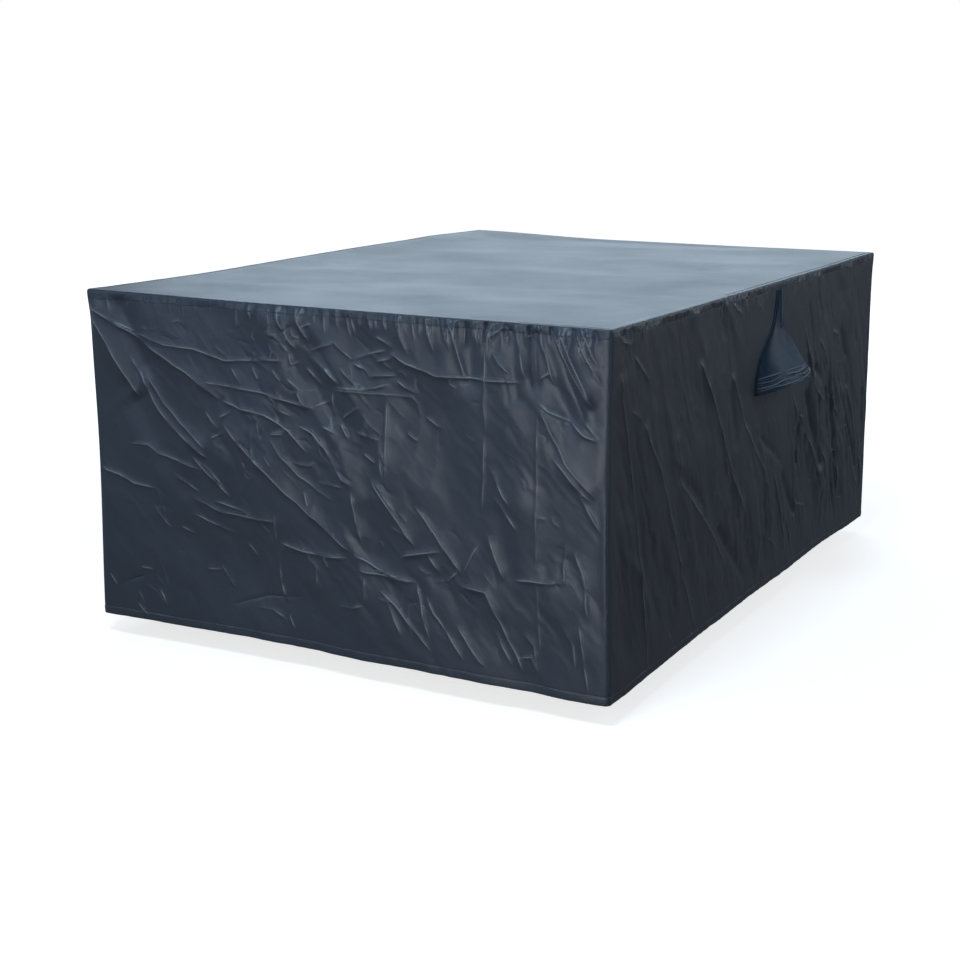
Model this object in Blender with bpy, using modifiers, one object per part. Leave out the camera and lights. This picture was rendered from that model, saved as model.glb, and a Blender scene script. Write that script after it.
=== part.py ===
"""Fitted cover for garden furniture: a top sheet, four hanging walls and a vent hood.

Metres, +Z up. The origin is the centre of the top sheet's underside. +X runs along the front wall,
from the left corner to the near corner, and +Y along the right wall, from there to the right corner.
Every surface is the middle of its cloth, which a Solidify modifier then thickens both ways.
"""

import math
from collections import namedtuple

import bmesh
import bpy
from mathutils import Matrix, Vector

# Driving dimensions
WIDTH = 1.20  # front and back walls
LENGTH = 1.70  # right and left walls
DROP = 0.71  # top sheet to hem
CLOTH = 0.002
HEM_THICK = 0.003  # the cloth turned up twice
HEM = 0.018
HEM_STEP = 0.002  # height over which a wall grows as thick as its hem
GAP = 0.0003  # between pieces that are sewn together
CORNER_GAP = 0.0002  # from the end of a wall to the middle of its corner seam
EDGE_R = 0.008  # rounding of the top edge
CORNER_R = 0.016  # rounding of the upright corners
RIM = 0.016  # how far down the top sheet turns before its seam
RIM_STRAIGHT = 0.012  # the rim is level from here down, whatever lifts the corner above
SEAM_FLAT = 0.006  # cloth that lies straight below that seam
FIRST_ROW = 0.022  # from there to the first of a wall's even rows
END_SLIVER = 0.0012  # last strip of a wall, square to the corner seam

# Each wall starts at a corner and runs anticlockwise, seen from above
Wall = namedtuple("Wall", "name length start turn first last")
WALLS = (
    Wall("front_panel", WIDTH, (-WIDTH / 2, -LENGTH / 2), 0, "left", "near"),
    Wall("right_panel", LENGTH, (WIDTH / 2, -LENGTH / 2), 90, "near", "right"),
    Wall("back_panel", WIDTH, (WIDTH / 2, LENGTH / 2), 180, "right", "back"),
    Wall("left_panel", LENGTH, (-WIDTH / 2, LENGTH / 2), 270, "back", "left"),
)

# How far each corner stands off the true box: at the top, halfway down and at the hem
Corner = namedtuple("Corner", "top_x top_y middle_x middle_y hem_x hem_y lift longer")
CORNERS = {
    "left": Corner(-0.011, -0.003, -0.006, 0.000, -0.010, -0.001, 0.003, 0.001),
    "near": Corner(-0.003, -0.002, -0.002, -0.002, 0.006, 0.002, 0.001, 0.002),
    "right": Corner(0.000, -0.003, 0.003, 0.000, 0.006, 0.002, 0.002, 0.006),
    "back": Corner(0.005, 0.006, 0.004, 0.004, 0.003, 0.000, 0.009, 0.002),
}
CORNER_REACH = 0.45  # how far along a wall a corner's stand-off is felt
LEFT_LIFT = 0.010  # the top's left edge stands up this much between its corners
LIFT_RISE = 0.35  # over this length from the back corner
LIFT_FALL = 1.20  # and down to the left corner over this one
LIFT_WIDTH = 0.15  # and is felt this far into the top
FOLD_FADE = 0.04  # a wall is straight at its seams, and its folds come in over this width
MERGE = 0.00001  # points this close are one

# Folds are soft ridges (rise above 0) or troughs along a straight line on a wall
Fold = namedtuple("Fold", "along0 down0 along1 down1 width rise")
FOLDS = {
    "front_panel": (
        # drawn out of the left corner, from the steepest to the flattest
        Fold(0.03, 0.04, 0.16, 0.22, 0.030, 0.011),
        Fold(0.16, 0.22, 0.30, 0.33, 0.022, 0.009),
        Fold(0.01, 0.02, 0.29, 0.17, 0.020, 0.009),
        Fold(0.29, 0.17, 0.45, 0.34, 0.022, 0.008),
        Fold(0.45, 0.34, 0.63, 0.48, 0.020, 0.009),
        Fold(0.14, 0.08, 0.42, 0.12, 0.018, 0.005),
        Fold(0.08, 0.18, 0.24, 0.42, 0.030, -0.007),
        Fold(0.24, 0.22, 0.40, 0.37, 0.026, -0.007),
        # crumples of the middle
        Fold(0.20, 0.38, 0.45, 0.45, 0.022, 0.006),
        Fold(0.29, 0.18, 0.55, 0.20, 0.020, 0.005),
        Fold(0.47, 0.03, 0.55, 0.20, 0.018, 0.007),
        Fold(0.55, 0.20, 0.66, 0.38, 0.022, 0.007),
        Fold(0.69, 0.33, 0.78, 0.44, 0.020, 0.008),
        Fold(0.79, 0.37, 0.88, 0.47, 0.020, 0.008),
        Fold(0.64, 0.50, 0.78, 0.53, 0.018, 0.006),
        Fold(0.60, 0.08, 0.73, 0.08, 0.016, 0.006),
        Fold(0.73, 0.08, 1.01, 0.112, 0.016, 0.008),
        Fold(0.84, 0.22, 0.86, 0.34, 0.070, -0.010),
        Fold(0.35, 0.60, 0.50, 0.70, 0.150, -0.014),
        # fold lines left from the packing
        Fold(0.725, 0.17, 0.723, 0.48, 0.016, 0.005),
        Fold(0.943, 0.04, 0.945, 0.54, 0.018, 0.008),
        Fold(1.050, 0.03, 1.054, 0.69, 0.018, 0.006),
        Fold(0.96, 0.49, 1.13, 0.485, 0.016, 0.005),
        # gathers under the seam, towards the near corner
        Fold(0.84, 0.02, 0.87, 0.10, 0.016, 0.006),
        Fold(0.90, 0.02, 0.92, 0.12, 0.016, -0.007),
        Fold(0.98, 0.02, 1.00, 0.16, 0.016, 0.008),
        Fold(1.02, 0.02, 1.02, 0.10, 0.014, -0.006),
        Fold(1.10, 0.02, 1.14, 0.17, 0.020, -0.010),
        Fold(1.14, 0.03, 1.17, 0.12, 0.014, 0.006),
        # slanting down to the near corner
        Fold(1.05, 0.14, 1.17, 0.21, 0.018, 0.007),
        Fold(1.07, 0.17, 1.16, 0.32, 0.020, 0.009),
        Fold(0.96, 0.30, 1.00, 0.46, 0.030, -0.008),
        Fold(0.88, 0.50, 0.96, 0.56, 0.020, 0.007),
        Fold(0.96, 0.56, 1.03, 0.68, 0.020, 0.009),
        Fold(0.84, 0.59, 0.96, 0.69, 0.020, 0.007),
        Fold(1.12, 0.42, 1.155, 0.68, 0.020, 0.007),
    ),
    "right_panel": (
        # long soft folds that lean away from the near corner
        Fold(0.06, 0.06, 0.10, 0.30, 0.024, -0.008),
        Fold(0.13, 0.08, 0.21, 0.34, 0.024, 0.008),
        Fold(0.21, 0.34, 0.25, 0.63, 0.032, 0.009),
        Fold(0.30, 0.20, 0.40, 0.58, 0.042, -0.010),
        Fold(0.16, 0.20, 0.33, 0.40, 0.030, 0.010),
        Fold(0.33, 0.40, 0.43, 0.64, 0.036, 0.011),
        Fold(0.49, 0.09, 0.59, 0.30, 0.032, 0.011),
        Fold(0.59, 0.30, 0.71, 0.59, 0.038, 0.012),
        Fold(0.58, 0.45, 0.61, 0.62, 0.038, -0.009),
        Fold(0.36, 0.03, 0.42, 0.20, 0.026, 0.007),
        Fold(0.62, 0.03, 0.66, 0.16, 0.022, 0.007),
        # narrower folds towards the right corner
        Fold(0.84, 0.40, 0.94, 0.63, 0.034, 0.010),
        Fold(0.96, 0.40, 1.02, 0.63, 0.032, -0.008),
        Fold(1.07, 0.38, 1.12, 0.64, 0.030, 0.009),
        Fold(1.17, 0.26, 1.23, 0.62, 0.028, 0.010),
        Fold(1.24, 0.10, 1.28, 0.40, 0.024, -0.008),
        Fold(1.30, 0.30, 1.36, 0.63, 0.028, 0.009),
        Fold(1.39, 0.12, 1.42, 0.44, 0.024, 0.007),
        Fold(1.43, 0.34, 1.47, 0.64, 0.026, 0.008),
        Fold(1.52, 0.16, 1.55, 0.63, 0.028, -0.008),
        Fold(1.60, 0.30, 1.63, 0.65, 0.024, 0.008),
    ),
    "back_panel": (
        Fold(0.10, 0.06, 0.26, 0.62, 0.045, 0.006),
        Fold(0.42, 0.16, 0.48, 0.64, 0.060, -0.007),
        Fold(0.66, 0.05, 0.62, 0.58, 0.050, 0.005),
        Fold(0.86, 0.20, 0.80, 0.64, 0.050, -0.006),
        Fold(1.08, 0.06, 0.98, 0.60, 0.045, 0.006),
    ),
    "left_panel": (
        Fold(0.10, 0.06, 0.28, 0.58, 0.050, 0.006),
        Fold(0.46, 0.14, 0.52, 0.64, 0.060, -0.007),
        Fold(0.78, 0.05, 0.74, 0.62, 0.055, 0.006),
        Fold(1.02, 0.22, 1.00, 0.64, 0.060, -0.006),
        Fold(1.28, 0.06, 1.24, 0.60, 0.050, 0.005),
        Fold(1.60, 0.08, 1.46, 0.58, 0.050, 0.006),
    ),
}

# Ripples of the top sheet: ridges and dents along a line, in plan
Ripple = namedtuple("Ripple", "x0 y0 x1 y1 width rise")
RIPPLES = (
    Ripple(-0.45, -0.62, 0.30, -0.58, 0.060, 0.0030),
    Ripple(-0.10, -0.36, 0.50, -0.28, 0.070, -0.0035),
    Ripple(-0.52, -0.30, -0.05, -0.18, 0.060, 0.0030),
    Ripple(-0.30, 0.12, 0.20, 0.06, 0.080, -0.0045),
    Ripple(0.10, 0.30, 0.50, 0.40, 0.070, 0.0035),
    Ripple(-0.42, 0.38, -0.12, 0.50, 0.070, -0.0045),
    Ripple(-0.05, 0.62, 0.35, 0.70, 0.060, 0.0030),
    Ripple(-0.20, 0.80, 0.20, 0.84, 0.080, -0.0060),
)

# Grid spacing of each wall: columns up to a place along it, then a second spacing; and rows
Mesh = namedtuple("Mesh", "first_step change second_step row_step")
MESHES = {
    "front_panel": Mesh(0.036, 0.80, 0.026, 0.030),
    "right_panel": Mesh(0.040, 1.10, 0.036, 0.034),
    "back_panel": Mesh(0.085, 1.00, 0.085, 0.070),
    "left_panel": Mesh(0.095, 1.00, 0.095, 0.070),
}
TOP_STEP = 0.120
EDGE_TURNS = (60, 30, 0)  # degrees round the top edge, from its foot up

# Vent hood: a pleat that widens to a half cone, open below, sewn to the right wall by two flanges
HOOD_ALONG = 0.918  # its middle, from the near corner
HOOD_FLANGE = 0.008
HOOD_SIDES = 10
HOOD_FLAT = (0.74, 1.10, 0.28)  # the wall lies flat here: from, to, and down to
HOOD_FLAT_FADE = 0.07
Section = namedtuple("Section", "down half lift rise")
HOOD_SECTIONS = (
    Section(0.018, 0.008, 0.004, 0.000),
    Section(0.060, 0.016, 0.006, 0.000),
    Section(0.098, 0.034, 0.008, 0.000),
    Section(0.124, 0.068, 0.015, 0.000),
    Section(0.150, 0.098, 0.025, 0.002),
    Section(0.180, 0.120, 0.039, 0.007),
    Section(0.212, 0.130, 0.055, 0.015),
    Section(0.242, 0.128, 0.070, 0.024),
)

SLATE = (0.045, 0.056, 0.074, 1.0)
SLATE_TOP = (0.060, 0.073, 0.094, 1.0)
SLATE_HOOD = (0.042, 0.058, 0.080, 1.0)


def smooth(t):
    """0 to 1 with flat ends."""
    t = min(max(t, 0.0), 1.0)
    return t * t * (3 - 2 * t)


def ridge(point, start, end, width):
    """1 on the line from start to end, falling off round about over its width."""
    run = end - start
    share = min(max((point - start).dot(run) / run.length_squared, 0.0), 1.0)
    return math.exp(-(((point - start - share * run).length / width) ** 2))


def flat_under_hood(wall, along, down):
    """0 where the vent hood is sewn on, 1 away from it."""
    if wall.name != "right_panel":
        return 1.0
    low, high, bottom = HOOD_FLAT
    outside = max(low - along, along - high, down - bottom)
    return smooth(outside / HOOD_FLAT_FADE)


def depth(wall, along, down):
    """How far the folds stand out of a wall: its highest ridge there less its deepest trough."""
    here = Vector((along, down))
    highest = 0.0
    deepest = 0.0
    for fold in FOLDS[wall.name]:
        start = Vector((fold.along0, fold.down0))
        end = Vector((fold.along1, fold.down1))
        rise = fold.rise * ridge(here, start, end, fold.width)
        highest = max(highest, rise)
        deepest = min(deepest, rise)
    from_corner = min(along, wall.length - along) - CORNER_R / 2
    from_seam = down - RIM - SEAM_FLAT
    fade = smooth(from_corner / FOLD_FADE) * smooth(from_seam / FOLD_FADE)
    return (highest + deepest) * fade * flat_under_hood(wall, along, down)


def corner_shift(corner, down):
    """A corner's stand-off at some height, as a plan vector in the cover's own axes."""
    levels = (
        Vector((corner.top_x, corner.top_y)),
        Vector((corner.middle_x, corner.middle_y)),
        Vector((corner.hem_x, corner.hem_y)),
    )
    place = 2 * min(max((down - RIM - SEAM_FLAT) / (DROP - RIM - SEAM_FLAT), 0.0), 1.0)
    if place < 1:
        return levels[0].lerp(levels[1], smooth(place))
    return levels[1].lerp(levels[2], smooth(place - 1))


def left_lift(along):
    """How much the top's left edge stands up, at a place along the left wall."""
    return LEFT_LIFT * smooth(along / LIFT_RISE) * smooth((LENGTH - along) / LIFT_FALL)


def stand_off(wall, along, down):
    """What a wall's corners and its top edge add there: a plan vector and a change in height."""
    shift = Vector((0.0, 0.0))
    above_seam = 1 - smooth(down / RIM_STRAIGHT)
    height = left_lift(along) * above_seam if wall.name == "left_panel" else 0.0
    for name, distance in ((wall.first, along), (wall.last, wall.length - along)):
        share = 1 - smooth(distance / CORNER_REACH)
        shift += share * corner_shift(CORNERS[name], down)
        high = CORNERS[name].lift * above_seam
        low = CORNERS[name].longer * smooth((down - DROP / 2) / (DROP / 2))
        height += share * (high - low)
    return shift, height


def place_of(wall):
    """Where a wall's own axes stand: along it, into the cover, and up."""
    return Matrix.Translation((*wall.start, 0)) @ Matrix.Rotation(math.radians(wall.turn), 4, "Z")


def wall_point(wall, along, down, inset=0.0):
    """A point of a wall's cloth in the wall's own axes, round the corners at both ends.

    inset moves it into the cover.
    """
    near_start = along < CORNER_R
    near_end = along > wall.length - CORNER_R
    middle = along
    turn = 0.0
    if near_start:
        middle = CORNER_R
        turn = -math.pi / 4 * (1 - along / CORNER_R)
    if near_end:
        middle = wall.length - CORNER_R
        turn = math.pi / 4 * (1 - (wall.length - along) / CORNER_R)
    out = CORNER_R - inset + depth(wall, along, down)
    point = Vector((middle + out * math.sin(turn), CORNER_R - out * math.cos(turn), CLOTH / 2 - down))
    shift, height = stand_off(wall, along, down)
    own = Matrix.Rotation(math.radians(-wall.turn), 2) @ shift
    if flat_under_hood(wall, along, down) == 0:
        own = Vector((0.0, 0.0))
    return point + Vector((own.x, own.y, height))


def rim_point(wall, along, down, turn):
    """A point of the top sheet's rounded edge (turn under 90 degrees) or of its rim below that."""
    angle = math.radians(turn)
    inset = EDGE_R * (1 - math.sin(angle))
    level = down if turn == 90 else EDGE_R * (1 - math.cos(angle))
    return place_of(wall) @ wall_point(wall, along, level, inset)


def top_height(x, y):
    """Height of the top sheet's middle, with nothing at the origin."""
    total = 0.0
    for ripple in RIPPLES:
        start = Vector((ripple.x0, ripple.y0))
        end = Vector((ripple.x1, ripple.y1))
        here = ridge(Vector((x, y)), start, end, ripple.width)
        total += ripple.rise * (here - ridge(Vector((0.0, 0.0)), start, end, ripple.width))
    beside_left = math.exp(-(((x + WIDTH / 2) / LIFT_WIDTH) ** 2))
    return CLOTH / 2 + total + beside_left * left_lift(LENGTH / 2 - y)


def steps(start, end, step):
    """Evenly spaced places from start to end, about a step apart."""
    count = max(1, round((end - start) / step))
    return [start + (end - start) * i / count for i in range(count + 1)]


def add_grid(mesh, columns, rows, place):
    """Add a grid whose point in each column and row stands where place(column, row) says."""
    across = len(columns) - 1
    up = len(rows) - 1
    made = bmesh.ops.create_grid(mesh, x_segments=across, y_segments=up, size=1.0)
    for vert in made["verts"]:
        column = round((vert.co.x + 1) / 2 * across)
        row = round((vert.co.y + 1) / 2 * up)
        vert.co = place(columns[column], rows[row])


def cloth_object(name, mesh, colour, roughness, thick=CLOTH, thin_share=1.0, thick_below=None):
    """An object of cloth from an open surface, with its own material and thickness."""
    data = bpy.data.meshes.new(name)
    mesh.to_mesh(data)
    mesh.free()
    data.shade_smooth()
    made = bpy.data.objects.new(name, data)
    cover.objects.link(made)
    material = bpy.data.materials.new(name)
    material.use_nodes = True
    shader = material.node_tree.nodes["Principled BSDF"]
    shader.inputs["Base Color"].default_value = colour
    shader.inputs["Roughness"].default_value = roughness
    shader.inputs["Metallic"].default_value = 0.0
    material.diffuse_color = colour
    data.materials.append(material)
    split = made.modifiers.new("split along the folds", "TRIANGULATE")
    split.quad_method = "FIXED_ALTERNATE"
    solid = made.modifiers.new("thickness", "SOLIDIFY")
    solid.thickness = thick
    solid.offset = 0.0
    if thick_below is not None:
        band = made.vertex_groups.new(name="hem")
        band.add([v.index for v in data.vertices if v.co.z < thick_below], 1.0, "REPLACE")
        solid.vertex_group = "hem"
        solid.thickness_vertex_group = thin_share
    return made


def make_top():
    """The top sheet: flat with ripples, rounded over its edge and turned down to the seam."""
    mesh = bmesh.new()
    xs = [0.0, *steps(CORNER_R, WIDTH - CORNER_R, TOP_STEP), WIDTH]
    ys = [0.0, *steps(CORNER_R, LENGTH - CORNER_R, TOP_STEP), LENGTH]
    front, right, back, left = WALLS

    def sheet(x, y):
        if y == 0:
            return rim_point(front, x, 0, 0)
        if x == WIDTH:
            return rim_point(right, y, 0, 0)
        if y == LENGTH:
            return rim_point(back, WIDTH - x, 0, 0)
        if x == 0:
            return rim_point(left, LENGTH - y, 0, 0)
        plan = (x - WIDTH / 2, y - LENGTH / 2)
        return Vector((*plan, top_height(*plan)))

    add_grid(mesh, xs, ys, sheet)
    bands = [(RIM - GAP / 2, 90), (RIM_STRAIGHT, 90), (EDGE_R, 90)]
    bands += [(0.0, turn) for turn in EDGE_TURNS]
    for wall, columns in ((front, xs), (right, ys), (back, xs), (left, ys)):
        add_grid(mesh, columns, bands, lambda along, band, wall=wall: rim_point(wall, along, *band))
    bmesh.ops.remove_doubles(mesh, verts=mesh.verts, dist=MERGE)
    return cloth_object("top_panel", mesh, SLATE_TOP, 0.55)


def make_wall(wall):
    """A hanging wall, with its hem turned up as a thicker band."""
    spacing = MESHES[wall.name]
    ends = (CORNER_GAP, END_SLIVER, CORNER_R / 2)
    columns = list(ends)
    columns += steps(CORNER_R, spacing.change, spacing.first_step)[:-1]
    columns += steps(spacing.change, wall.length - CORNER_R, spacing.second_step)
    columns += [wall.length - end for end in reversed(ends)]
    rows = [RIM + GAP / 2, RIM + SEAM_FLAT]
    hem_from = DROP - HEM - HEM_STEP
    rows += steps(RIM + SEAM_FLAT + FIRST_ROW, hem_from, spacing.row_step)
    rows += [DROP - HEM, DROP]
    mesh = bmesh.new()
    add_grid(mesh, columns, rows[::-1], lambda along, down: wall_point(wall, along, down))
    thick_below = CLOTH / 2 - hem_from + HEM_STEP / 4
    made = cloth_object(wall.name, mesh, SLATE, 0.5, HEM_THICK, CLOTH / HEM_THICK, thick_below)
    made.location = (*wall.start, 0)
    made.rotation_euler.z = math.radians(wall.turn)
    return made


def make_hood(right_wall):
    """The vent hood in the right wall's own axes, with its flanges lying on the wall."""
    lie = -(CLOTH + GAP)
    angles = [math.pi * i / HOOD_SIDES for i in range(HOOD_SIDES + 1)]
    places = [-HOOD_FLANGE, *angles, math.pi + HOOD_FLANGE]

    def cloth(section, place):
        angle = min(max(place, 0.0), math.pi)
        flange = place - angle
        along = HOOD_ALONG - section.half * math.cos(angle) + flange
        out = section.lift * math.sin(angle)
        down = section.down - section.rise * math.sin(angle)
        return Vector((along, lie - out, CLOTH / 2 - down))

    mesh = bmesh.new()
    add_grid(mesh, places, HOOD_SECTIONS[::-1], lambda place, section: cloth(section, place))
    made = cloth_object("vent_hood", mesh, SLATE_HOOD, 0.45)
    made.parent = right_wall
    return made


for old in list(bpy.data.objects):
    bpy.data.objects.remove(old, do_unlink=True)
cover = bpy.data.collections.new("patio_furniture_cover")
bpy.context.scene.collection.children.link(cover)

make_top()
panels = {wall.name: make_wall(wall) for wall in WALLS}
make_hood(panels["right_panel"])
bpy.context.view_layer.update()
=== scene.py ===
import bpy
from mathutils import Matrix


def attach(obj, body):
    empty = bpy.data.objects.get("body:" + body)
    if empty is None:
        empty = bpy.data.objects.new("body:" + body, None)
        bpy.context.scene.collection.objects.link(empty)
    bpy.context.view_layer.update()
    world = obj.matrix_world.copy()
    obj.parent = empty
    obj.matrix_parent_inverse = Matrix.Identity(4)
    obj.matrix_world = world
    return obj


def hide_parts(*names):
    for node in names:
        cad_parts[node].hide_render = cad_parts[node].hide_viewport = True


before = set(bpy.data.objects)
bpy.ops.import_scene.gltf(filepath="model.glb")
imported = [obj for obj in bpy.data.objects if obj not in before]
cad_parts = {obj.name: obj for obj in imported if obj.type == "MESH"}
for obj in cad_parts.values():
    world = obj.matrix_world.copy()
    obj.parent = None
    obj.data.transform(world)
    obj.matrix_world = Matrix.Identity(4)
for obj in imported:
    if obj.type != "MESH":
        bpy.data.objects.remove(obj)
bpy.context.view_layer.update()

import math
from collections import namedtuple

import bmesh
import bpy
import numpy as np
from mathutils import Matrix, Vector

# ---------------------------------------------------------------------------------------------------
# Front wall. One cut of coated polyester, gathered into the seam under the top edge and sewn to its
# neighbours at the corners, with its lower edge turned up twice and stitched. It hangs in the sharp
# creases of its packing and is drawn up towards the left corner.
WIDTH = 1.20
LENGTH = 1.70
DROP = 0.71
SHEET = 0.002  # the solids' thickness, whose middle the cloth follows
CORNER_R = 0.011
RIM = 0.016  # the seam under the top edge
RIM_STRAIGHT = 0.012  # below here the cloth no longer lifts with its corners
HEM = 0.018
HEM_BACK = 0.0026  # how far behind the wall its turned-up cloth lies
STITCH_ROW = DROP - HEM
SEAM_TURN = 0.009  # cloth turned in at a seam

Wall = namedtuple("Wall", "node length start turn first last")
FRONT = Wall("front_panel", WIDTH, (-WIDTH / 2, -LENGTH / 2), 0, "left", "near")
RIGHT = Wall("right_panel", LENGTH, (WIDTH / 2, -LENGTH / 2), 90, "near", "right")
BACK = Wall("back_panel", WIDTH, (WIDTH / 2, LENGTH / 2), 180, "right", "back")
LEFT = Wall("left_panel", LENGTH, (-WIDTH / 2, LENGTH / 2), 270, "back", "left")

# How far each corner stands off the true box, as on the solids: in plan at three heights, in height at
# the top and the hem, and in plan once more at its tip alone
Corner = namedtuple("Corner", "top middle hem lift longer ear")
CORNERS = {
    "left": Corner((-0.011, -0.003), (-0.006, 0.000), (-0.010, -0.001), 0.003, 0.001, (-0.006, -0.001)),
    "near": Corner((-0.003, -0.002), (-0.002, -0.002), (0.006, 0.002), 0.001, 0.002, (0.0, 0.0)),
    "right": Corner((0.000, -0.003), (0.003, 0.000), (0.006, 0.002), 0.002, 0.006, (0.002, 0.001)),
    "back": Corner((0.005, 0.006), (0.004, 0.004), (0.003, 0.000), 0.009, 0.002, (0.001, 0.003)),
}
CORNER_REACH = 0.45
CORNER_TOP = RIM + 0.006  # down to here a corner stands off as it does at the top
LEFT_LIFT = 0.010  # the top's left edge stands up this much between its corners
LIFT_RISE = 0.35
LIFT_FALL = 1.20
EAR_REACH = 0.040  # how far a corner's tip reaches


def smooth(t):
    """0 to 1 with flat ends."""
    t = np.clip(t, 0.0, 1.0)
    return t * t * (3 - 2 * t)


def hump(away, width):
    """1 on a line, and less and less to both sides of it."""
    return np.exp(-((away / width) ** 2))


LATTICE = 97  # random values along each side of the noise, which repeats beyond them
LATTICE_START = (20.3, 20.7)  # how many of them lie before a sheet's first corner


def waver(x, y, size, seed):
    """Even noise from -1 to 1 over a sheet, in lumps of about this size in metres."""
    lattice = np.random.default_rng(seed).uniform(-1, 1, (LATTICE, LATTICE))
    column = x / size + LATTICE_START[0]
    row = y / size + LATTICE_START[1]
    left = np.floor(column).astype(int)
    below = np.floor(row).astype(int)
    across = smooth(column - left)
    up = smooth(row - below)
    left, right = left % LATTICE, (left + 1) % LATTICE
    below, above = below % LATTICE, (below + 1) % LATTICE
    low = lattice[below, left] * (1 - across) + lattice[below, right] * across
    high = lattice[above, left] * (1 - across) + lattice[above, right] * across
    return low * (1 - up) + high * up


Lump = namedtuple("Lump", "rise size seed")


def wavers(x, y, *lumps):
    """Noise in lumps of several sizes together."""
    return sum(lump.rise * waver(x, y, lump.size, lump.seed) for lump in lumps)


def corner_shift(corner, down, axis):
    """A corner's stand-off in plan at some height, along one of the cover's own axes."""
    place = 2 * (down - CORNER_TOP) / (DROP - CORNER_TOP)
    top, middle, hem = corner.top[axis], corner.middle[axis], corner.hem[axis]
    return top + (middle - top) * smooth(place) + (hem - middle) * smooth(place - 1)


def on_wall(wall, along, down, inset, depth):
    """Points of a wall in the cover's axes.

    along runs from its first corner, round the corners at both ends, and down from the top. inset
    moves a point into the cover, and depth moves it out.
    """
    middle = np.clip(along, CORNER_R, wall.length - CORNER_R)
    turn = np.clip((along - middle) / CORNER_R, -1, 1) * math.pi / 4
    out = CORNER_R - inset + depth
    x = middle + out * np.sin(turn)
    y = CORNER_R - out * np.cos(turn)
    angle = math.radians(wall.turn)
    points = np.stack(
        [
            wall.start[0] + x * math.cos(angle) - y * math.sin(angle),
            wall.start[1] + x * math.sin(angle) + y * math.cos(angle),
            SHEET / 2 - down,
        ],
        axis=1,
    )
    above_seam = 1 - smooth(down / RIM_STRAIGHT)
    if wall == LEFT:
        lifted = LEFT_LIFT * smooth(along / LIFT_RISE) * smooth((LENGTH - along) / LIFT_FALL)
        points[:, 2] += lifted * above_seam
    for name, distance in ((wall.first, along), (wall.last, wall.length - along)):
        corner = CORNERS[name]
        share = 1 - smooth(distance / CORNER_REACH)
        tip = np.exp(-((distance / EAR_REACH) ** 2) - (down / EAR_REACH) ** 2)
        for axis in (0, 1):
            points[:, axis] += share * corner_shift(corner, down, axis) + tip * corner.ear[axis]
        longer = corner.longer * smooth((down - DROP / 2) / (DROP / 2))
        points[:, 2] += share * (corner.lift * above_seam - longer)
    return points


def in_metres(route):
    """A route given in millimetres, as points in metres."""
    return [(along / 1000, down / 1000) for along, down in route]


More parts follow.
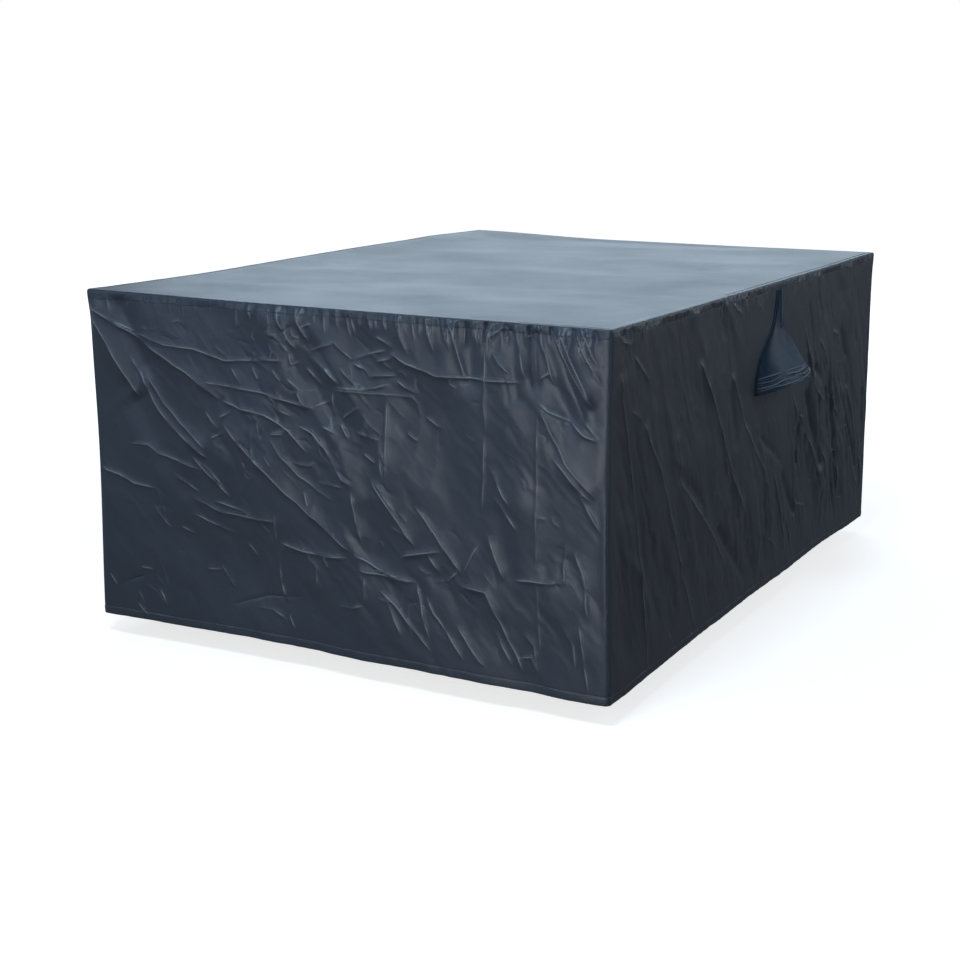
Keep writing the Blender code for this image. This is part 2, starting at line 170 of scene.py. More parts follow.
class Creased:
    """Points of a wall, with how far each stands out and where the nearest crease's line is."""

    CREST = 0.0014  # half the width of a crease's rounded top
    LIP = 0.0026  # half the width of the pinched lip along it
    LIP_SHARE = 0.55  # the lip's height as a share of the crease's
    LIP_LIMIT = 0.0018  # no crease counts as higher than this for it
    FLANKS = 5  # a crease reaches this many times the width of its flank
    DYING = 0.030  # it dies out over this length at each end
    DYING_SHARE = 0.30  # or over this share of it, if that is less
    FULL_LINE = 2.5  # the rise in millimetres at which a line is at its strongest
    HEIGHTS = (0.85, 0.25)  # the mean share of its rise that it has, and how far that varies along it
    LINES = (0.75, 0.70)  # the same for the strength of its line
    WANDER = 0.0013  # how far a crease strays from the line that it was given
    WANDER_SIZE = 0.030
    REACH = 0.003  # a point knows of a line this far away, and less and less as far again
    NO_LINE = 0.020  # how far off the line is where a point knows of none
    FARTHEST = 0.012  # a line further off than this isn't noted
    FAINT = 0.004  # the faintest line counts as this much further off than the strongest

    def __init__(self, along, down):
        self.along = along + self.WANDER * waver(along, down, self.WANDER_SIZE, 1)
        self.down = down + self.WANDER * waver(along, down, self.WANDER_SIZE, 2)
        self.depth = np.zeros(len(along))
        self.line = np.zeros(len(along))  # how strong the nearest line is, below 0 in a valley
        self.off = np.full(len(along), self.NO_LINE)  # how far off it is, below 0 on one side
        self.weight = np.full(len(along), self.FARTHEST)

    def mark(self, points, off, strength):
        """Note a crease's line where it is nearer or stronger than the one noted there."""
        weight = np.abs(off) + self.FAINT * (1 - np.minimum(np.abs(strength), 1))
        nearer = weight < self.weight[points]
        points, off, strength = points[nearer], off[nearer], strength[nearer]
        self.weight[points] = weight[nearer]
        self.off[points] = off
        self.line[points] = strength * (1 - smooth((np.abs(off) - self.REACH) / self.REACH))

    def crease(self, rise, above, below, route):
        """Raise a crease (or press one in) along a route.

        rise and the widths of its flanks, above and below it, are in millimetres, and its points
        are (along, down) in metres. It is at its sharpest on its line.
        """
        above, below, height = above / 1000, below / 1000, rise / 1000
        reach = self.FLANKS * max(above, below)
        low, high = np.min(route, axis=0) - reach, np.max(route, axis=0) + reach
        near = (self.along > low[0]) & (self.along < high[0]) & (self.down > low[1]) & (self.down < high[1])
        near = np.flatnonzero(near)
        if not len(near):
            return
        x = self.along[near]
        y = self.down[near]
        best = np.full(len(near), np.inf)
        side = np.zeros(len(near))
        place = np.zeros(len(near))
        travelled = 0.0
        for (x0, y0), (x1, y1) in zip(route, route[1:]):
            run_x, run_y = x1 - x0, y1 - y0
            length = math.hypot(run_x, run_y)
            share = np.clip(((x - x0) * run_x + (y - y0) * run_y) / length**2, 0, 1)
            off_x = x - x0 - share * run_x
            off_y = y - y0 - share * run_y
            distance = np.hypot(off_x, off_y)
            closer = distance < best
            best = np.where(closer, distance, best)
            side = np.where(closer, off_x * run_y - off_y * run_x, side)
            place = np.where(closer, travelled + share * length, place)
            travelled += length
        flank = np.where(side > 0, above, below)
        dying = min(self.DYING_SHARE * travelled, self.DYING)
        ends = smooth(place / dying) * smooth((travelled - place) / dying)
        mean, change = self.HEIGHTS
        uneven = mean + change * waver(place, np.full(len(near), travelled + x[0]), 0.035, 3)
        fall = np.exp(-(np.hypot(best, self.CREST) - self.CREST) / flank)
        lip = math.copysign(min(abs(height), self.LIP_LIMIT) * self.LIP_SHARE, height)
        self.depth[near] += (height * fall + lip * hump(best, self.LIP)) * ends * uneven
        sharp = math.copysign(min(1.0, abs(rise) / self.FULL_LINE), rise)
        mean, change = self.LINES
        broken = np.clip(mean + change * waver(place, np.full(len(near), travelled), 0.022, 4), 0, 1.3)
        self.mark(near, np.where(side > 0, best, -best), sharp * ends * broken)

    def press(self, rows):
        """Crease the wall along each row's route, which is in millimetres."""
        for rise, above, below, route in rows:
            self.crease(rise, above, below, in_metres(route))


# The creases, in millimetres: how high each stands (below 0, how deep it lies), the
# widths of its flanks above and below it, and its route, along the wall and down from the top
Crease = namedtuple("Crease", "rise above below route")
FRONT_CREASES = (
    # drawn out of the left corner
    Crease(3.4, 12, 8, ((0, 14), (20, 38), (60, 60), (125, 80))),
    Crease(5.6, 16, 9, ((60, 63), (120, 87), (190, 124), (250, 155), (335, 208))),
    Crease(2.2, 12, 6, ((120, 80), (200, 100), (270, 105), (340, 121), (500, 108))),
    Crease(17.0, 22, 30, ((4, 20), (24, 66), (60, 118), (90, 165), (128, 222))),
    Crease(6.3, 13, 9, ((100, 128), (135, 172), (158, 220), (200, 272), (295, 332))),
    Crease(2.5, 6, 6, ((132, 148), (160, 190), (185, 225), (220, 257), (290, 312))),
    Crease(3.1, 7, 8, ((250, 325), (275, 352), (310, 378), (348, 410))),
    Crease(1.8, 5, 5, ((262, 335), (300, 358), (335, 392))),
    Crease(2.5, 8, 14, ((85, 320), (140, 318), (165, 335), (210, 342), (280, 361))),
    Crease(2.4, 9, 9, ((2, 372), (25, 384), (60, 390), (100, 407), (160, 412))),
    # the left half's lower creases
    Crease(2.1, 5, 6, ((200, 373), (235, 390), (270, 407))),
    Crease(3.6, 11, 6, ((245, 416), (300, 437), (320, 443), (400, 445), (460, 445))),
    Crease(1.7, 5, 5, ((295, 420), (340, 427), (375, 433), (405, 443))),
    Crease(1.5, 6, 8, ((240, 453), (300, 470), (355, 487))),
    Crease(1.8, 6, 6, ((145, 445), (170, 475), (192, 497))),
    Crease(1.3, 5, 5, ((210, 488), (252, 501))),
    Crease(1.4, 6, 6, ((380, 500), (395, 515), (407, 532))),
    Crease(1.5, 6, 6, ((308, 558), (325, 580), (347, 607))),
    Crease(1.1, 5, 5, ((272, 573), (312, 570))),
    Crease(-2.0, 9, 12, ((45, 642), (80, 625), (130, 602))),
    Crease(1.7, 6, 6, ((24, 613), (46, 642))),
    Crease(1.4, 4, 6, ((105, 590), (142, 592))),
    Crease(2.1, 6, 7, ((154, 633), (170, 655), (179, 678))),
    Crease(1.8, 6, 6, ((98, 673), (115, 690), (132, 700))),
    Crease(-2.2, 14, 14, ((330, 645), (420, 612), (520, 602))),
    Crease(1.7, 8, 8, ((395, 636), (440, 638), (475, 656))),
    Crease(1.5, 6, 6, ((478, 640), (495, 672))),
    # the long fold down the middle and what branches from it
    Crease(2.1, 4, 5, ((288, 232), (305, 252), (326, 269))),
    Crease(1.5, 4, 5, ((318, 243), (362, 225))),
    Crease(1.5, 5, 5, ((298, 288), (342, 268))),
    Crease(6.4, 24, 7, ((330, 250), (400, 310), (500, 388), (600, 457), (645, 485))),
    Crease(2.7, 14, 6, ((285, 170), (350, 175), (420, 178), (480, 186), (565, 202))),
    Crease(2.8, 11, 6, ((325, 203), (380, 218), (440, 224), (500, 250), (545, 299))),
    Crease(2.1, 4, 4, ((438, 193), (470, 208), (508, 223))),
    Crease(3.9, 11, 7, ((515, 238), (555, 252), (585, 280), (625, 335), (652, 352))),
    Crease(2.1, 7, 5, ((448, 268), (480, 305), (520, 345), (605, 387))),
    Crease(1.4, 4, 5, ((498, 315), (540, 320), (562, 308))),
    Crease(1.4, 4, 6, ((558, 351), (590, 350), (632, 353))),
    Crease(1.4, 3, 4, ((448, 263), (488, 261))),
    Crease(1.7, 5, 5, ((528, 372), (541, 407))),
    Crease(1.3, 5, 5, ((421, 235), (429, 288))),
    # the sharp creases below the middle of the seam
    Crease(4.2, 9, 6, ((468, 10), (485, 40), (500, 65), (522, 88))),
    Crease(3.4, 7, 6, ((513, 15), (535, 50), (553, 70))),
    Crease(1.7, 4, 4, ((527, 40), (557, 31))),
    Crease(2.2, 5, 5, ((550, 87), (575, 76), (612, 64))),
    Crease(3.1, 7, 5, ((553, 97), (590, 122), (623, 148))),
    Crease(2.5, 5, 5, ((538, 118), (560, 140), (577, 158))),
    Crease(2.2, 5, 6, ((453, 48), (480, 70), (503, 94))),
    Crease(1.8, 4, 4, ((502, 90), (507, 116), (526, 110))),
    Crease(1.7, 4, 5, ((458, 128), (487, 153))),
    Crease(1.7, 4, 5, ((409, 128), (427, 158))),
    Crease(1.7, 4, 5, ((357, 133), (388, 173))),
    Crease(1.8, 4, 5, ((497, 143), (533, 170))),
    Crease(3.1, 8, 5, ((520, 166), (532, 188), (548, 204))),
    Crease(2.1, 5, 4, ((556, 199), (598, 182))),
    Crease(2.8, 6, 5, ((592, 62), (608, 63), (622, 76), (650, 100))),
    Crease(2.5, 5, 5, ((642, 99), (680, 83), (725, 72))),
    Crease(5.0, 8, 5, ((730, 75), (770, 95), (810, 103), (835, 113), (890, 112))),
    Crease(2.2, 4, 4, ((860, 112), (930, 110), (1025, 110))),
    Crease(2.2, 5, 5, ((697, 96), (730, 88), (747, 71))),
    Crease(2.0, 4, 5, ((697, 46), (720, 55), (738, 67))),
    Crease(2.8, 6, 5, ((645, 103), (675, 112), (692, 134))),
    Crease(2.4, 5, 4, ((678, 131), (700, 123), (748, 118))),
    Crease(2.5, 6, 6, ((583, 112), (605, 135), (618, 152))),
    Crease(2.5, 6, 5, ((618, 110), (645, 135), (668, 152))),
    Crease(3.1, 8, 5, ((605, 154), (665, 153), (700, 147), (735, 135))),
    Crease(1.7, 5, 9, ((600, 160), (680, 159), (745, 157), (795, 163))),
    Crease(3.6, 6, 6, ((742, 126), (765, 140), (793, 152))),
    Crease(1.8, 5, 5, ((617, 218), (645, 200), (668, 186))),
    Crease(1.8, 5, 5, ((576, 233), (613, 247))),
    Crease(1.7, 5, 5, ((600, 163), (606, 218))),
    Crease(2.0, 5, 5, ((618, 222), (638, 259))),
    Crease(2.1, 5, 6, ((648, 239), (690, 245), (714, 250))),
    Crease(1.7, 6, 6, ((710, 248), (711, 300), (716, 330))),
    Crease(2.1, 5, 5, ((668, 278), (703, 297))),
    Crease(1.7, 5, 5, ((807, 193), (843, 217))),
    Crease(1.7, 5, 5, ((768, 228), (793, 245))),
    # the right half's diagonals
    Crease(3.6, 8, 11, ((644, 352), (652, 400), (667, 470))),
    Crease(4.5, 11, 7, ((685, 327), (710, 360), (740, 395), (790, 457))),
    Crease(2.2, 5, 5, ((698, 330), (720, 360), (748, 392))),
    Crease(4.5, 8, 7, ((782, 371), (800, 385), (850, 445), (898, 497))),
    Crease(4.2, 6, 6, ((747, 484), (765, 475), (800, 466), (850, 456))),
    Crease(4.5, 9, 8, ((460, 489), (520, 498), (580, 502), (640, 497))),
    Crease(4.2, 9, 8, ((643, 486), (670, 495), (700, 511), (735, 521), (795, 528))),
    Crease(2.5, 5, 7, ((655, 512), (668, 520), (720, 524), (782, 529))),
    Crease(2.7, 8, 6, ((788, 525), (800, 560), (806, 595), (822, 645))),
    Crease(3.1, 8, 6, ((812, 545), (830, 585), (862, 622), (898, 674))),
    Crease(3.6, 8, 9, ((702, 552), (740, 580), (770, 610), (832, 672))),
    Crease(1.8, 6, 6, ((716, 566), (735, 600), (757, 645))),
    Crease(5.6, 15, 7, ((882, 514), (910, 520), (945, 523), (980, 590), (1025, 675))),
    Crease(2.0, 5, 5, ((817, 466), (847, 503))),
    Crease(1.7, 4, 6, ((826, 521), (862, 512), (888, 486))),
    Crease(2.2, 5, 5, ((893, 498), (905, 475), (928, 432))),
    Crease(3.1, 7, 7, ((877, 596), (910, 640), (930, 665), (948, 677))),
    Crease(2.2, 6, 6, ((955, 585), (975, 625), (1000, 665))),
    Crease(2.8, 7, 6, ((948, 272), (965, 295), (985, 330), (1003, 349))),
    Crease(2.5, 7, 6, ((958, 331), (980, 350), (1018, 394))),
    Crease(3.9, 12, 10, ((946, 405), (970, 460), (990, 500))),
    # square fold lines left from the packing
    Crease(1.8, 4, 4, ((458, 425), (457, 492))),
    Crease(1.1, 4, 4, ((459, 500), (461, 590))),
    Crease(1.7, 5, 5, ((460, 575), (468, 602), (483, 618))),
    Crease(1.4, 5, 5, ((538, 508), (556, 530), (556, 572))),
    Crease(1.5, 5, 5, ((572, 504), (588, 528))),
    Crease(1.3, 4, 5, ((671, 530), (672, 590))),
    Crease(1.4, 4, 6, ((600, 602), (640, 601), (672, 592))),
    Crease(1.4, 4, 4, ((725, 165), (724, 240), (722, 330))),
    Crease(2.0, 12, 5, ((944, 28), (942, 90), (941, 150), (945, 218))),
    Crease(1.3, 9, 5, ((940, 215), (938, 300), (935, 368))),
    Crease(-1.6, 7, 6, ((1046, 20), (1050, 90), (1057, 140))),
    Crease(1.7, 4, 4, ((1053, 101), (1078, 87))),
    Crease(0.9, 4, 4, ((1056, 485), (1056, 560), (1058, 630))),
    Crease(2.4, 9, 5, ((998, 491), (1040, 487), (1080, 486), (1114, 482))),
    Crease(2.2, 6, 6, ((1116, 405), (1110, 450), (1113, 490))),
    Crease(0.9, 4, 4, ((1056, 160), (1056, 300), (1054, 460))),
    # towards the near corner
    Crease(3.4, 8, 6, ((990, 4), (966, 20), (942, 34))),
    Crease(2.8, 6, 6, ((955, 50), (975, 78), (1004, 101))),
    Crease(-3.4, 7, 6, ((984, 98), (990, 125), (998, 160))),
    Crease(6.4, 14, 12, ((1082, 4), (1100, 40), (1130, 90), (1172, 148))),
    Crease(4.5, 11, 9, ((1128, 4), (1150, 50), (1188, 108))),
    Crease(2.8, 5, 5, ((1050, 138), (1080, 158), (1120, 175), (1150, 197), (1180, 206))),
    Crease(4.8, 14, 8, ((1058, 145), (1080, 190), (1115, 250), (1140, 276), (1180, 316))),
    Crease(3.4, 6, 6, ((1085, 240), (1110, 262), (1150, 305), (1170, 324))),
    Crease(2.5, 7, 6, ((1138, 296), (1160, 340), (1188, 380))),
    Crease(1.8, 5, 5, ((1148, 168), (1183, 208))),
    Crease(3.1, 8, 7, ((1130, 415), (1152, 467), (1158, 545))),
    Crease(2.5, 7, 7, ((1140, 555), (1150, 620), (1158, 690))),
    Crease(2.2, 6, 6, ((1105, 560), (1128, 600), (1132, 650))),
    Crease(2.0, 6, 5, ((1020, 590), (1045, 615), (1052, 650))),
    Crease(2.2, 6, 6, ((1012, 646), (1040, 640), (1056, 670))),
)
# Broad hollows and bulges, which the creases lie on, also in millimetres
Swell = namedtuple("Swell", "rise width route")
FRONT_SWELLS = (
    Swell(-9.0, 70, ((830, 200), (860, 360))),
    Swell(5.0, 45, ((990, 100), (1020, 340))),
    Swell(-5.0, 60, ((220, 500), (400, 560))),
    Swell(4.0, 70, ((200, 100), (340, 60))),
    Swell(-10.0, 26, ((82, 30), (136, 145))),
    Swell(-12.0, 150, ((350, 620), (500, 710))),
    Swell(-4.0, 26, ((90, 200), (230, 400))),
    Swell(-4.0, 24, ((680, 270), (700, 480))),
    Swell(4.0, 40, ((1020, 220), (1030, 460))),
    Swell(-4.0, 22, ((975, 370), (1000, 480))),
    Swell(4.5, 18, ((845, 0), (855, 100))),
    Swell(-6.0, 13, ((1000, 20), (1010, 140))),
    Swell(-6.5, 16, ((905, 0), (910, 120))),
    Swell(-9.0, 22, ((1055, 20), (1120, 170))),
    Swell(3.0, 60, ((420, 300), (600, 440))),
    Swell(3.0, 30, ((600, 520), (720, 620))),
)
# Stretches of even gathers that hang from the seam, in metres but for their rise in millimetres
Gather = namedtuple("Gather", "begin end pitch rise reach")
FRONT_GATHERS = (
    Gather(0.05, 0.45, 0.036, 1.0, 0.030),
    Gather(0.45, 0.80, 0.022, 1.8, 0.035),
    Gather(0.80, 1.18, 0.014, 1.8, 0.035),
)
# The deepest pleats, which reach over the top edge
FRONT_PLEATS = (
    Crease(3.0, 7, 5, ((402, -30), (403, 4), (412, 40))),
    Crease(4.5, 7, 5, ((470, -30), (472, 4), (482, 35), (494, 60))),
    Crease(-3.0, 5, 5, ((492, -30), (493, 4), (500, 40))),
    Crease(4.0, 7, 5, ((516, -30), (517, 4), (528, 35), (545, 65))),
    Crease(-3.0, 6, 6, ((566, -30), (567, 4), (575, 40))),
    Crease(3.5, 8, 6, ((640, -30), (642, 4), (655, 50))),
    Crease(-3.5, 6, 6, ((700, -30), (702, 4), (708, 35))),
    Crease(4.0, 8, 6, ((752, -30), (753, 4), (760, 45), (775, 80))),
    Crease(5.0, 9, 5, ((812, -30), (814, 4), (820, 35), (832, 75))),
    Crease(-4.5, 7, 6, ((838, -30), (840, 4), (850, 60))),
    Crease(7.0, 12, 6, ((862, -30), (864, 4), (883, 60), (905, 125))),
    Crease(-5.5, 7, 6, ((893, -30), (895, 4), (906, 65))),
    Crease(5.5, 8, 6, ((915, -30), (918, 4), (925, 55))),
    Crease(-8.0, 8, 6, ((938, -30), (940, 4), (940, 75))),
    Crease(7.5, 7, 5, ((957, -30), (957, 4), (951, 30), (946, 80))),
    Crease(-5.0, 6, 6, ((984, -30), (986, 4), (993, 45))),
    Crease(6.0, 10, 6, ((1005, -30), (1006, 4), (1016, 50), (1030, 105))),
    Crease(-7.0, 6, 8, ((1030, -30), (1031, 4), (1038, 55), (1047, 140))),
    Crease(7.0, 10, 6, ((1052, -30), (1054, 4), (1067, 50), (1087, 115))),
    Crease(-8.0, 7, 7, ((1075, -30), (1077, 4), (1096, 50), (1126, 120), (1152, 175))),
    Crease(8.0, 9, 6, ((1094, -30), (1097, 4), (1119, 45), (1150, 105), (1172, 150))),
    Crease(-6.0, 6, 6, ((1120, -30), (1122, 4), (1142, 40), (1166, 88))),
    Crease(6.0, 7, 6, ((1140, -30), (1142, 4), (1160, 35), (1180, 78))),
    Crease(-4.5, 5, 5, ((1162, -30), (1164, 4), (1178, 30))),
)
# Where a wall is crumpled into facets, in what sizes, and how many small creases are strewn over it:
# in metres, but for rises in millimetres and slants in degrees
Patch = namedtuple("Patch", "along down radius amount")
Facet = namedtuple("Facet", "size stretch slant rise")
Crumple = namedtuple("Crumple", "count low high rise slant")
FRONT_PATCHES = (
    Patch(0.53, 0.18, 0.20, 0.9),
    Patch(0.62, 0.45, 0.20, 0.5),
    Patch(0.88, 0.62, 0.20, 0.6),
    Patch(1.08, 0.20, 0.14, 0.6),
    Patch(0.26, 0.30, 0.14, 0.4),
    Patch(1.12, 0.55, 0.14, 0.4),
)
FRONT_FACETS = (
    Facet(0.130, 2.4, 50, 6.0),
    Facet(0.110, 3.4, 84, 4.5),
    Facet(0.055, 3.0, 52, -2.0),
    Facet(0.050, 3.0, 100, 1.4),
    Facet(0.022, 3.0, 44, 0.8),
)
FRONT_CRUMPLES = (
    Crumple(70, (0.36, 0.04), (0.72, 0.34), 1.2, 52),
    Crumple(30, (0.05, 0.35), (1.12, 0.66), 0.8, 48),
    Crumple(26, (0.72, 0.10), (1.15, 0.60), 0.9, 60),
    Crumple(12, (0.10, 0.03), (0.40, 0.12), 0.7, 15),
)
# All the folds of a wall. base is the amount of its facets outside every patch, calm the share of its
# folds that is gone at the hem, and flat the stretch that is kept flat for what is sewn on there.
Folds = namedtuple(
    "Folds",
    "swells creases facets patches base seed crumples gathers calm pleats flat",
    defaults=((), None),
)
FOLDS = {
    "front_panel": Folds(
        FRONT_SWELLS,
        FRONT_CREASES,
        FRONT_FACETS,
        FRONT_PATCHES,
        base=0.35,
        seed=100,
        crumples=FRONT_CRUMPLES,
        gathers=FRONT_GATHERS,
        calm=0.35,
        pleats=FRONT_PLEATS,
    )
}


def swelling(x, y, rise, width, route):
    """Height of a broad hollow or bulge round a line. All but x and y are in millimetres."""
    (x0, y0), (x1, y1) = in_metres(route)
    run_x, run_y = x1 - x0, y1 - y0
    share = np.clip(((x - x0) * run_x + (y - y0) * run_y) / (run_x**2 + run_y**2), 0, 1)
    away = np.hypot(x - x0 - share * run_x, y - y0 - share * run_y)
    return rise / 1000 * hump(away, width / 1000)


PLEAT_START = -0.030  # a pleat starts this far over the top
PLEAT_EDGE = 0.004  # and runs straight over the edge to here
PLEAT_FLANK = 0.30  # the width of its flank as a share of the pitch
PLEAT_WIDEST = 9.0  # in millimetres
PLEAT_LOWER = 0.8  # the lower flank as a share of the upper one
VALLEY = 0.7  # the valley beside a pleat, as a share of its rise and flank
VALLEY_LENGTH = 0.6  # and of its length


def gather(sheet, rng, begin, end, pitch, rise, reach):
    """Uneven pleats that hang from the top edge between two places."""
    along = begin
    while along < end:
        lean = rng.uniform(-0.15, 0.45)
        length = reach * rng.uniform(0.4, 1.5)
        height = rise * rng.uniform(0.3, 1.2)
        flank = min(PLEAT_FLANK * pitch * 1000, PLEAT_WIDEST) * rng.uniform(0.6, 1.1)
        foot = (along + lean * length, RIM + length)
        sheet.crease(height, flank, flank * PLEAT_LOWER, ((along, PLEAT_START), (along, PLEAT_EDGE), foot))
        beside = along + pitch * rng.uniform(0.35, 0.6)
        route = ((beside, PLEAT_START), (beside, PLEAT_EDGE), (beside, RIM + VALLEY_LENGTH * length))
        sheet.crease(-height * VALLEY, flank * VALLEY, flank, route)
        along += pitch * rng.uniform(0.6, 1.5)


FACET_WANDER = 0.25  # how far the facets' lines stray, as a share of their size
FACET_WANDER_SIZE = 0.8  # and in lumps of what size
FACET_ROUND = 0.0016  # how much the lines are rounded off


def facet(sheet, patches, base, size, stretch, slant, rise, seed):
    """Crumple a wall into facets that meet in soft lines.

    size is across the lines and stretch how much longer a facet is along them. slant is how far they
    run down from the level, in degrees.
    """
    angle = math.radians(slant)
    run = sheet.along * math.cos(angle) + sheet.down * math.sin(angle)
    across = sheet.down * math.cos(angle) - sheet.along * math.sin(angle)
    across = across + FACET_WANDER * size * waver(run, across, FACET_WANDER_SIZE * size, seed + 1)
    value = waver(run / stretch, across, size, seed)
    amount = np.full(len(run), base)
    for patch in patches:
        away = np.hypot(sheet.along - patch.along, sheet.down - patch.down)
        amount += patch.amount * hump(away, patch.radius)
    sheet.depth += rise / 1000 * amount * (1 - 2 * np.sqrt(value**2 + FACET_ROUND))


AT_SLANT = 0.75  # the share of the small creases that keep near the slant
SLANT_SPREAD = 16  # degrees
UPWARDS = 0.65  # the share of them that stand up


def crumple(sheet, rng, count, low, high, rise, slant):
    """Scatter small creases over a stretch of a wall, most of them at one slant."""
    for _ in range(count):
        x = rng.uniform(low[0], high[0])
        y = rng.uniform(low[1], high[1])
        length = rng.uniform(0.018, 0.075)
        kept = rng.uniform() < AT_SLANT
        angle = math.radians(rng.normal(slant, SLANT_SPREAD) if kept else rng.uniform(-30, 60))
        bend = rng.uniform(-0.008, 0.008)
        run = (length * math.cos(angle), length * math.sin(angle))
        middle = (x + run[0] / 2 - bend * math.sin(angle), y + run[1] / 2 + bend * math.cos(angle))
        height = rise * rng.uniform(0.4, 1.2) * (1 if rng.uniform() < UPWARDS else -1)
        flank = rng.uniform(3.0, 9.0)
        route = ((x, y), middle, (x + run[0], y + run[1]))
        sheet.crease(height, flank, flank * rng.uniform(0.5, 1.0), route)


def lay_folds(sheet, rng, folds):
    """Lay the folds of a wall that hang below its gathers."""
    for row in folds.swells:
        sheet.depth += swelling(sheet.along, sheet.down, *row)
    for number, row in enumerate(folds.facets):
        facet(sheet, folds.patches, folds.base, *row, folds.seed + 10 * number)
    sheet.press(folds.creases)
    for row in folds.crumples:
        crumple(sheet, rng, *row)
    if folds.flat:
        begin, end, bottom, fade = folds.flat
        outside = np.maximum(np.maximum(begin - sheet.along, sheet.along - end), sheet.down - bottom)
        sheet.depth *= smooth(outside / fade)


LOOSENESS = (Lump(0.0012, 0.16, 5), Lump(0.0005, 0.05, 6))
CALM_START = 0.13  # above the lower edge, where the folds begin to calm down
CALM_REACH = 0.10
CORNER_STILL = 0.002  # no folds this near a corner
CORNER_FADE = 0.022
SEAM_STILL = 0.003  # nor, but for the pleats, this near the top
SEAM_FADE = 0.014
EDGE_FADE = 0.007


def from_corner(wall, along):
    """How far places along a wall are from its nearer corner."""
    return np.minimum(along, wall.length - along)


def wall_depth(wall, along, down):
    """How far each point of a wall stands out of its box, and the crease's line that is nearest."""
    folds = FOLDS[wall.node]
    rng = np.random.default_rng(40 + wall.turn)
    pleats = Creased(along, down)
    for row in folds.gathers:
        gather(pleats, rng, *row)
    pleats.press(folds.pleats)
    sheet = Creased(along, down)
    lay_folds(sheet, rng, folds)
    sheet.depth += wavers(along, down, *LOOSENESS)
    sheet.depth *= 1 - folds.calm * smooth((down - DROP + CALM_START) / CALM_REACH)
    at_corner = smooth((from_corner(wall, along) - CORNER_STILL) / CORNER_FADE)
    below_seam = smooth((down - SEAM_STILL) / SEAM_FADE)
    over_edge = smooth(down / EDGE_FADE)
    depth = sheet.depth * below_seam + pleats.depth * over_edge
    sheet.line *= below_seam
    sheet.mark(np.arange(len(along)), pleats.off, pleats.line * over_edge)
    return depth * at_corner, np.stack([sheet.line * at_corner, sheet.off], axis=1)


def cloth_object(name, mesh, uv, lines, material):
    """An object from a mesh, with the cloth's own map in metres and its crease lines as attributes."""
    data = bpy.data.meshes.new(name)
    mesh.to_mesh(data)
    mesh.free()
    corners = np.empty(len(data.loops), dtype=np.int32)
    data.loops.foreach_get("vertex_index", corners)
    layer = data.uv_layers.new(name="cloth")
    layer.uv.foreach_set("vector", uv[corners].astype(np.float32).ravel())
    # the crease lines set where the material paints a highlight along each crease and folds its relief
    for number, label in enumerate(("crease", "crease_off")):
        known = data.attributes.new(label, "FLOAT", "POINT")
        known.data.foreach_set("value", lines[:, number].astype(np.float32))
    data.shade_smooth()
    data.materials.append(material)
    made = bpy.data.objects.new(name, data)
    bpy.context.scene.collection.objects.link(made)
    return made


def add_grid(mesh, columns, rows):
    """Add a grid of points to a mesh, and return its vertices with the column and row of each."""
    made = bmesh.ops.create_grid(mesh, x_segments=columns - 1, y_segments=rows - 1, size=1.0)["verts"]
    column = np.array([round((vert.co.x + 1) / 2 * (columns - 1)) for vert in made])
    row = np.array([round((vert.co.y + 1) / 2 * (rows - 1)) for vert in made])
    return made, column, row


def place_verts(verts, points):
    """Move a grid's vertices to their points."""
    for vert, point in zip(verts, points):
        vert.co = point


# Slate coated polyester: a plain weave under a thin coating, with a painted highlight along each crease
def new_group(name, inputs, outputs):
    """A node group with named sockets."""
    group = bpy.data.node_groups.new(name, "ShaderNodeTree")
    for label, kind, value in inputs:
        socket = group.interface.new_socket(name=label, in_out="INPUT", socket_type=kind)
        socket.default_value = value
    for label, kind in outputs:
        group.interface.new_socket(name=label, in_out="OUTPUT", socket_type=kind)
    return group, group.nodes.new("NodeGroupInput"), group.nodes.new("NodeGroupOutput")


def node(tree, kind, links=(), values=(), **settings):
    """Add a node, set its properties and its inputs, and link what comes from other nodes."""
    made = tree.nodes.new(kind)
    for label, value in settings.items():
        setattr(made, label, value)
    for label, value in dict(values).items():
        made.inputs[label].default_value = value
    for source, label in links:
        tree.links.new(source, made.inputs[label])
    return made


COLOUR, NUMBER = "NodeSocketColor", "NodeSocketFloat"
THREAD_AND_HIGHLIGHT = (0.15, 0.165, 0.185, 1)  # the colour of the stitches' pale thread, and of the painted highlight along each crease
PALE_HALF = 0.0014  # half the width of the painted highlight along a crease
STITCH_PITCH = 0.004
STITCH_HALF = 0.0005  # half the width of the row
STITCH_SHARE = 0.7  # the share of the pitch where the thread lies on top
STITCH_PALE = 0.35
STITCH_RISE = 3.0  # times as high as the weave's own threads
THREAD_RISE = 0.08  # in millimetres
RIDGE_ROUND = 0.05  # of the fold along a crease
RIDGE_FALL = -0.75  # how steeply it falls off to both sides
CRINKLE_SLANT = 54  # degrees
NO_STITCHES = 9.0  # a row that lies beyond every piece


